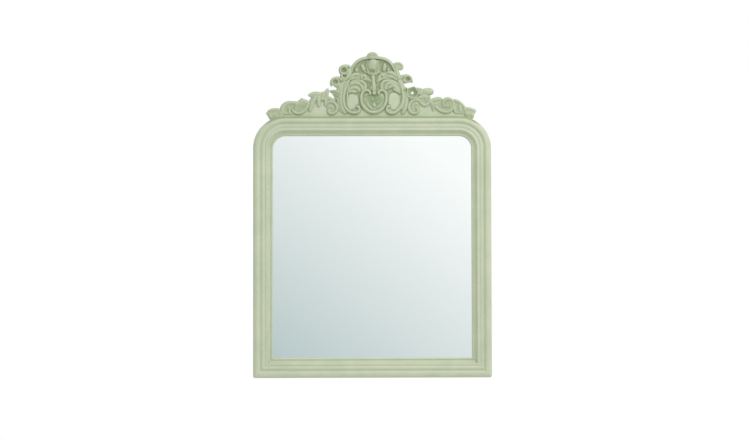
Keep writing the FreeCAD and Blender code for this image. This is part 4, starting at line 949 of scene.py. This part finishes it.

# %% [markdown]
# Low places on the carvings get painted shade. Each vertex is compared with the mean height
# around it, and what lies below that gets darker. In the cups of the curled leaves, the flower's
# bell and the pockets under the hood the painted shade lies in pools. Both go into one attribute,
# which the paint reads. A pool has a middle (column and row), a half width and a half height in
# squares, a strength, and the level in millimetres up to which it fills.

# %% Pools of painted shade
pools = [
    (357.8, 66, 3.2, 4.6, 0.95, 7), (364.6, 61.9, 3.2, 2.4, 0.79, 7), (353.6, 71, 1.8, 2.6, 0.79, 7),
    (381, 63, 2.6, 3.6, 0.79, 7), (388.8, 66.6, 2.8, 4.6, 0.79, 7), (372.4, 71, 4.4, 2.8, 0.95, 30),
    (377.6, 66.6, 3, 6, 0.7, 30), (369, 69.6, 2, 3, 0.3, 30), (368.2, 85, 2.8, 4.8, 0.83, 8),
    (377.6, 86.4, 2.2, 4, 0.83, 8), (368.8, 76.8, 2.4, 2.6, 0.74, 9), (376.2, 77, 1.8, 2.6, 0.74, 9),
    (374.3, 100, 11, 9.5, 0.9, 9.2), (364.8, 97, 2.6, 3, 0.79, 10), (357, 94, 4.4, 2.2, 0.74, 9.5),
    (388.4, 90, 3.6, 2.4, 0.61, 8), (357, 86.6, 12, 6.6, 0.52, 8.5), (390, 86, 12, 6, 0.44, 8.5),
    (357.6, 79.6, 8.8, 1.9, 0.66, 12), (390, 79, 9, 1.9, 0.61, 12), (356, 77, 8, 4.6, 0.44, 8.5),
    (389, 77, 9, 4.6, 0.44, 8.5), (343.4, 71.2, 3.6, 3.5, 0.95, 10), (344.7, 75.9, 2.4, 2.4, 0.85, 10),
    (342.8, 81.2, 2.4, 2.2, 0.74, 14), (335, 82.2, 2.4, 2, 0.75, 9), (407.7, 79, 2.4, 2.3, 0.85, 10),
    (400.6, 65.8, 1.8, 1.8, 0.44, 14), (413.2, 93.4, 5.2, 5.2, 0.85, 11),
    (405.2, 90.6, 2.4, 2.8, 0.95, 14), (372, 96.6, 10, 2.8, 0.95, 9.5), (374.1, 106, 14, 9, 0.36, 30),
    (335.4, 96.8, 4.4, 5, 0.75, 30), (333, 92, 5, 2, 0.6, 30), (353.6, 109.7, 2.2, 2.2, 0.61, 8),
    (390.8, 110.9, 1.4, 1.4, 0.52, 8), (400, 99.1, 1.8, 6.4, 0.35, 8), (372.6, 55.8, 6.6, 4.4, 0.49, 30),
    (312, 97.6, 2.6, 1.4, 0.71, 12), (323, 101.7, 3.4, 2, 0.66, 9), (327.6, 97.4, 3, 6, 0.39, 30),
    (299, 107.2, 9, 5, 0.52, 9.5), (303, 106.5, 3.6, 2.6, 0.74, 9), (298.4, 111.7, 2.2, 1.8, 0.74, 9),
    (287.2, 109.5, 2.2, 4, 0.74, 9), (292, 109.9, 1.8, 3.6, 0.66, 9), (291.6, 105.6, 4.6, 1.6, 0.66, 9),
    (275, 114.5, 9, 6.4, 0.35, 30), (276, 118.9, 8, 2.6, 0.66, 12), (273, 112.1, 2, 1.4, 0.52, 12),
    (444, 105.4, 9.6, 5.4, 0.57, 9.5), (447, 102.4, 5, 2.6, 0.61, 8.5), (457.6, 108.2, 1.6, 5, 0.66, 8),
    (463, 111.7, 1.6, 2.6, 0.57, 8), (469.6, 116.9, 4.4, 3.6, 0.57, 12),
    (422.4, 101.5, 2.6, 2.4, 0.61, 9), (433, 106.5, 1.8, 4, 0.61, 9),
]


map_column, map_row, map_size, cell = 255, 40, (320, 800), 0.3
blur_reach, bare_weight = 3.4, 0.5
# The deepest painted shade in a low spot, and how far every carving but the ovals is darkened.
deepest_painted_shade, carving_darkening, skin_grain = 0.72, 0.3, 0.8 * mm


def crest_places(mesh):
    """Columns, rows and heights above the board, in squares, squares and millimetres."""
    spots = np.zeros(len(mesh.vertices) * 3)
    mesh.vertices.foreach_get("co", spots)
    x, y, z = spots.reshape(-1, 3).T
    return centre_column + x / square, top_row - (z - frame_top) / square, (board_front - y) / mm


def map_cells(column, row):
    """The cell of the height map, a fine squared paper of its own, that each place falls in."""
    return ((row - map_row) / cell).astype(int), ((column - map_column) / cell).astype(int)


def blurred(grid, reach):
    """Each cell becomes the mean of its neighbours with a bell curve's weights, along both axes."""
    steps = np.arange(-10, 11)
    weights = np.exp(-0.5 * (steps / reach) ** 2)
    for axis in (0, 1):
        moved = (weight * np.roll(grid, step, axis) for step, weight in zip(steps, weights))
        grid = sum(moved) / weights.sum()
    return grid


def height_map(meshes):
    """The highest vertex of each cell, and the mean height round it; bare ground counts only half."""
    highest = np.zeros(map_size)
    filled = np.zeros_like(highest)
    for mesh in meshes:
        column, row, height = crest_places(mesh)
        spot = map_cells(column, row)
        np.maximum.at(highest, spot, height)
        filled[spot] = 1
    share = blurred(filled, blur_reach)
    return blurred(highest * filled, blur_reach) / (bare_weight + (1 - bare_weight) * share)


def eased(share):
    """3 * share squared - 2 * share cubed: a soft start and a soft end between 0 and 1."""
    return share * share * (3 - 2 * share)


def paint_carving_shade(mesh, mean_height, base):
    """Painted shade as the greatest of: base, raised by how far a vertex lies below the mean height
    round it; and each pool's strength * fade with the distance from its middle * fade with the
    height above its level."""
    column, row, height = crest_places(mesh)
    below = np.clip((mean_height[map_cells(column, row)] - height + 0.3) / 2.2, 0, 1)
    painted_shade = base + (deepest_painted_shade - base) * eased(below)
    for middle_column, middle_row, wide, high, strength, level in pools:
        reach = np.hypot((column - middle_column) / wide, (row - middle_row) / high)
        near, low = np.clip((1.1 - reach) / 0.6, 0, 1), np.clip((level - height) / 3, 0, 1)
        painted_shade = np.maximum(painted_shade, strength * eased(near) * low)
    layer = mesh.attributes.new("painted_carving_shade", "FLOAT", "POINT")
    layer.data.foreach_set("value", painted_shade.astype(np.float32))


carved = {}
on_frame = carving_paint, "crest_paint", "mirror_frame"
for node, strokes in carvings.items():
    carved[node] = piece("carved_" + node, strokes, *on_frame, node, 60, skin_grain).data
# Painted shade in low spots and pools goes into each carving's attribute.
mean_height = height_map(carved.values())
for node, mesh in carved.items():
    paint_carving_shade(mesh, mean_height, 0.0 if "oval" in node else carving_darkening)

# %% [markdown]
# The back is never painted. Bare beech with a fine straight grain shows there, and behind the
# glass a sheet of brown hardboard. Zinc-plated steel makes the plates, straps, rings and buttons,
# grey felt the strips, and brown felt the two pads at the foot. Flat solids keep their shape.


# %% Finishes of the back
def plain_finish(name, scale, first, second, roughness, grip, metal=0.0, stretch=(1, 1, 1)):
    """Two colours mixed by drawn-out noise, with a bump of the same noise."""
    material, tree, surface = new_finish(name)
    own = add(tree, "ShaderNodeTexCoord", {}).outputs["Object"]
    grain = speckle(tree, own, scale, 4, stretch)
    fine = speckle(tree, own, scale * 6, 2, stretch)
    tone = ramp(tree, sum_of(tree, grain, fine, 0.3), 0.45, 0.85)
    feed(tree, surface, {
        "Base Color": blend_colours(tree, tone, first, second),
        "Roughness": ramp(tree, fine, 0.3, 0.8, roughness - 0.07, roughness + 0.07),
        "Metallic": metal,
        "Normal": bumps(tree, fine, grip, 0.2 * mm),
    })
    return material


hardboard = plain_finish("brown_hardboard", 180, (0.27, 0.165, 0.09, 1), (0.20, 0.115, 0.06, 1), 0.7, 0.5)
zinc = plain_finish("zinc_plate", 90, (0.62, 0.63, 0.64, 1), (0.50, 0.51, 0.53, 1), 0.36, 0.3, 1.0)
felt = plain_finish("grey_felt", 500, (0.17, 0.17, 0.165, 1), (0.10, 0.10, 0.10, 1), 0.95, 1.0)
pad_felt = plain_finish("brown_felt", 500, (0.16, 0.13, 0.10, 1), (0.10, 0.08, 0.06, 1), 0.95, 1.0)
beech = plain_finish("bare_beech", 40, bare_beech, dark_beech, 0.6, 0.4, stretch=(6, 6, 0.5))
end_finishes = {
    hardboard: ["backing_board"],
    felt: ["cushion_strips"],
    carving_paint: ["crest_board"],
    beech: ["rail_tenons", "mitre_tenons", "crest_tenons"],
    zinc: ["crest_plates", "left_hanger_strap", "right_hanger_strap"],
}
end_finishes[zinc] += [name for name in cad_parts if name.endswith("_turn_button")]
for material, names in end_finishes.items():
    for name in names:
        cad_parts[name].data.materials.clear()
        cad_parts[name].data.materials.append(material)
print("finishes given to", sum(map(len, end_finishes.values())), "nodes")

# %% [markdown]
# A slotted wood screw is turned steel: a domed head with a sawn slot, and a shank that tapers to a
# point in the wood. The head is drawn as lines across it, each line a chord of the circle, and the
# lines between the slot's two walls lie lower. The shank is a few rings that shrink. The places,
# each head's seat and its height are in millimetres, and the slots of a row point different ways.


# %% Slotted screws
head_radius, shank_length = 3.3 * mm, 10 * mm
hanger_aside = 406.5


def slotted_head(centre, seat, tall, turn):
    """Chords of a circle side by side; those between the slot's walls lie half the head lower.

    height = tall * (1 - 0.55 * squared distance from the middle, in radii).
    """
    slot = 0.14
    beside = np.linspace(slot + 0.001, 0.97, 6)
    lines = np.concatenate([-beside[::-1], [-slot, slot], beside])
    half = np.sqrt(1 - lines**2)[:, None]
    over = half * np.linspace(-1, 1, 9)
    lines = np.repeat(lines[:, None], 9, axis=1)
    dome = tall * (1 - 0.55 * (lines**2 + over**2))
    dome = np.where(np.abs(lines) <= slot, dome - 0.5 * tall, dome)
    out, along = np.hstack([lines, lines[:, ::-1]]), np.hstack([over, over[:, ::-1]])
    height = np.hstack([dome, np.zeros_like(dome)])
    c, s = np.cos(turn), np.sin(turn)
    x = centre[0] + head_radius * (out * c - along * s)
    z = centre[1] + head_radius * (out * s + along * c)
    return tube(np.stack([x, seat + height, z], axis=2))


def turned(x, z, reach, y, count):
    """A form off the lathe: rings of that many places about (x, z), each with its own reach and y."""
    angle = round_angles(count)
    out, up = np.outer(reach, np.cos(angle)), np.outer(reach, np.sin(angle))
    return tube(np.stack([x + out, np.repeat(y[:, None], count, axis=1), z + up], axis=2))


def screw_shank(centre, seat):
    """Rings of a small circle from the head into the wood, the last few shrinking to the point."""
    depth = np.array([0, 0.3, 0.31, 0.85, 1.0]) * shank_length
    return turned(*centre, np.array([1.6, 1.6, 1.35, 1.2, 0.2]) * mm, seat - depth, 12)


button_places = [(side * 388, z) for side in (-1, 1) for z in (-120, -480)]
button_places += [(side * 100, z) for side in (-1, 1) for z in (130.5, -730.5)]
screw_places = {
    "crest_plate_screws": ([(x, z) for x in (-200, 0, 200) for z in (154, 206)], -6.0, 1.8),
    "turn_button_screws": (button_places, -6.0, 1.8),
    "hanger_screws": ([(side * hanger_aside, z) for side in (-1, 1) for z in (-28, -50)], -7.2, 0.7),
}
for node, (places, seat, tall) in screw_places.items():
    parts = []
    for count, place in enumerate(places):
        centre = np.array(place) * mm
        parts.append(slotted_head(centre, seat * mm, tall * mm, 0.7 + 1.1 * count))
        parts.append(screw_shank(centre, seat * mm))
    piece("slotted_" + node, parts, zinc, "zinc_steel", "mirror_frame", node, 35)

# %% [markdown]
# Each hanger has a ring of bent round wire: a straight bar inside the strap's knuckle, two short
# legs and a half circle. The wire's line is worked out once, and a circle is carried along it. A
# curve with a bevel would do the same, but this keeps every new shape in one kind of array.


# %% Rings and foot pads
wire, ring_half, ring_bend, ring_leg = 1.38 * mm, 12.5 * mm, 2 * mm, 8 * mm
knuckle_y, knuckle_z = -4 * mm, -19 * mm
pad_radius, pad_aside, pad_z = 10.7 * mm, 403.5, -746 * mm


def wire_ring(side):
    """The bar, two legs and a half circle as one closed line, and a circle square to it all along."""
    turns, quarter = np.linspace(0, np.pi, 33), np.linspace(0, np.pi / 2, 7)
    crown = np.column_stack([ring_half * np.cos(turns), -ring_leg - ring_half * np.sin(turns)])
    curve = ring_bend * np.column_stack([-np.cos(quarter), np.sin(quarter)])
    left_bend = (-ring_half + ring_bend, -ring_bend) + curve
    right_bend = left_bend[::-1] * (-1, 1)
    bar_half = ring_half - 1.6 * ring_bend
    bar = np.column_stack([np.linspace(-bar_half, bar_half, 9), np.zeros(9)])
    line = np.vstack([crown, left_bend, bar, right_bend])
    ahead = np.roll(line, -1, 0) - np.roll(line, 1, 0)
    ahead /= np.linalg.norm(ahead, axis=1)[:, None]
    outward = np.column_stack([-ahead[:, 1], ahead[:, 0]])
    angle = round_angles(16)
    flat = line[:, None, :] + outward[:, None, :] * (wire * np.cos(angle))[None, :, None]
    y = np.repeat((knuckle_y + wire * np.sin(angle))[None, :], len(line), axis=0)
    x = side * hanger_aside * mm + flat[:, :, 0]
    return tube(np.stack([x, y, knuckle_z + flat[:, :, 1]], axis=2), looped=True)


def felt_disc(side):
    """A disc turned from a profile: straight for most of its thickness, soft at the wall side."""
    profile = [(1, 0), (1, 0.25), (1.01, 0.5), (0.99, 0.78), (0.93, 0.95), (0.82, 1), (0.4, 1), (0.1, 1)]
    reach, depth = np.array(profile).T
    return turned(side * pad_aside * mm, pad_z, pad_radius * reach, wall_gap * (depth - 1), 36)


for name, side in (("left", -1), ("right", 1)):
    ring = name + "_hanger_ring"
    piece("bent_" + name + "_ring", [wire_ring(side)], zinc, "zinc_steel", ring, ring, 80)
    pad_node = name + "_foot_pad"
    piece("felt_" + name + "_pad", [felt_disc(side)], pad_felt, "felt_pad", "mirror_frame", pad_node, 50)

# %% [markdown]
# The camera stands five metres off, a little below the middle, and looks slightly up. It is a
# 65 mm lens, so that the sides of the frame lean together as little as in a shop's photograph.

# %% Camera
eye = np.array([-0.051, -5.0, -0.331])
pitch, yaw, roll = np.radians([1.485, 0.700, -0.125])
forward = np.array([np.sin(yaw) * np.cos(pitch), np.cos(yaw) * np.cos(pitch), np.sin(pitch)])
level = np.array([np.cos(yaw), -np.sin(yaw), 0])
upward = np.cross(level, forward)
right = np.cos(roll) * level + np.sin(roll) * upward
top = -np.sin(roll) * level + np.cos(roll) * upward
camera = bpy.data.objects.new("camera", bpy.data.cameras.new("camera"))
camera.data.lens, camera.data.sensor_width = 65, 36
pose = np.eye(4)
pose[:3, 0], pose[:3, 1], pose[:3, 2], pose[:3, 3] = right, top, -forward, eye
camera.matrix_world = Matrix(pose.tolist())
bpy.context.scene.collection.objects.link(camera)
bpy.context.scene.camera = camera
print("camera looks along", forward)

# %% [markdown]
# The studio is a white room without walls: the world is plain white to the camera, and a soft
# light to everything else. What the mirror shows is that room, paler above than below. One large
# soft lamp stands at the upper right, so left-hand and lower slopes fall into gentle shade.

# %% Studio
world = bpy.data.worlds.new("studio")
bpy.context.scene.world = world
world.use_nodes = True
tree = world.node_tree
tree.nodes.clear()
direction = add(tree, "ShaderNodeTexCoord", {}).outputs["Generated"]
parts = add(tree, "ShaderNodeSeparateXYZ", {0: direction}).outputs
slant = sum_of(tree, math_of(tree, "MULTIPLY", parts[0], 3.0), parts[2], 3.85)
share = math_of(tree, "MINIMUM", math_of(tree, "MAXIMUM", math_of(tree, "ADD", slant, 0.54), 0.0), 1.0)
room = blend_colours(tree, share, (0.47, 0.575, 0.575, 1), (1.0, 1.02, 1.02, 1))
rays = add(tree, "ShaderNodeLightPath", {}).outputs
shiny = math_of(tree, "MAXIMUM", rays["Is Glossy Ray"], rays["Is Transmission Ray"])
strength = sum_of(tree, sum_of(tree, 0.71, parts[2], 0.30), parts[0], 0.18)
soft = add(tree, "ShaderNodeBackground", {"Color": (0.97, 0.98, 1.0, 1), "Strength": strength})
shown = add(tree, "ShaderNodeBackground", {"Color": (1, 1, 1, 1), "Strength": 1.0})
mirrored = add(tree, "ShaderNodeBackground", {"Color": room, "Strength": 1.0})
first = add(tree, "ShaderNodeMixShader", {0: shiny, 1: soft.outputs[0], 2: mirrored.outputs[0]})
shading = {0: rays["Is Camera Ray"], 1: first.outputs[0], 2: shown.outputs[0]}
second = add(tree, "ShaderNodeMixShader", shading)
output = tree.nodes.new("ShaderNodeOutputWorld")
feed(tree, output, {"Surface": second.outputs[0]})


def lamp(name, place, aim, size, watts):
    """A square soft lamp; its minus Z axis points at the aim."""
    light = bpy.data.lights.new(name, "AREA")
    light.size, light.energy = size, watts
    item = bpy.data.objects.new(name, light)
    item.location = place
    item.rotation_euler = (Vector(aim) - Vector(place)).to_track_quat("-Z", "Y").to_euler()
    bpy.context.scene.collection.objects.link(item)


lamp("key_lamp", (1.3, -2.3, 1.6), (0, 0, 0.1), 2.0, 26)

floor_half, floor_height = 3, -1.5
floor_mesh = bpy.data.meshes.new("studio_floor")
around = ((-1, -1), (1, -1), (1, 1), (-1, 1))
corners = [(x * floor_half, y * floor_half, floor_height) for x, y in around]
floor_mesh.from_pydata(corners, [], [(0, 1, 2, 3)])
floor = bpy.data.objects.new("studio_floor", floor_mesh)
bpy.context.scene.collection.objects.link(floor)
floor_paint, tree, surface = new_finish("pale_floor")
own = add(tree, "ShaderNodeTexCoord", {}).outputs["Object"]
tint = blend_colours(tree, speckle(tree, own, 1.5), (0.72, 0.72, 0.71, 1), (0.76, 0.76, 0.75, 1))
feed(tree, surface, {"Base Color": tint, "Roughness": 0.9})
floor_mesh.materials.append(floor_paint)
bpy.context.scene.view_settings.view_transform = "Standard"
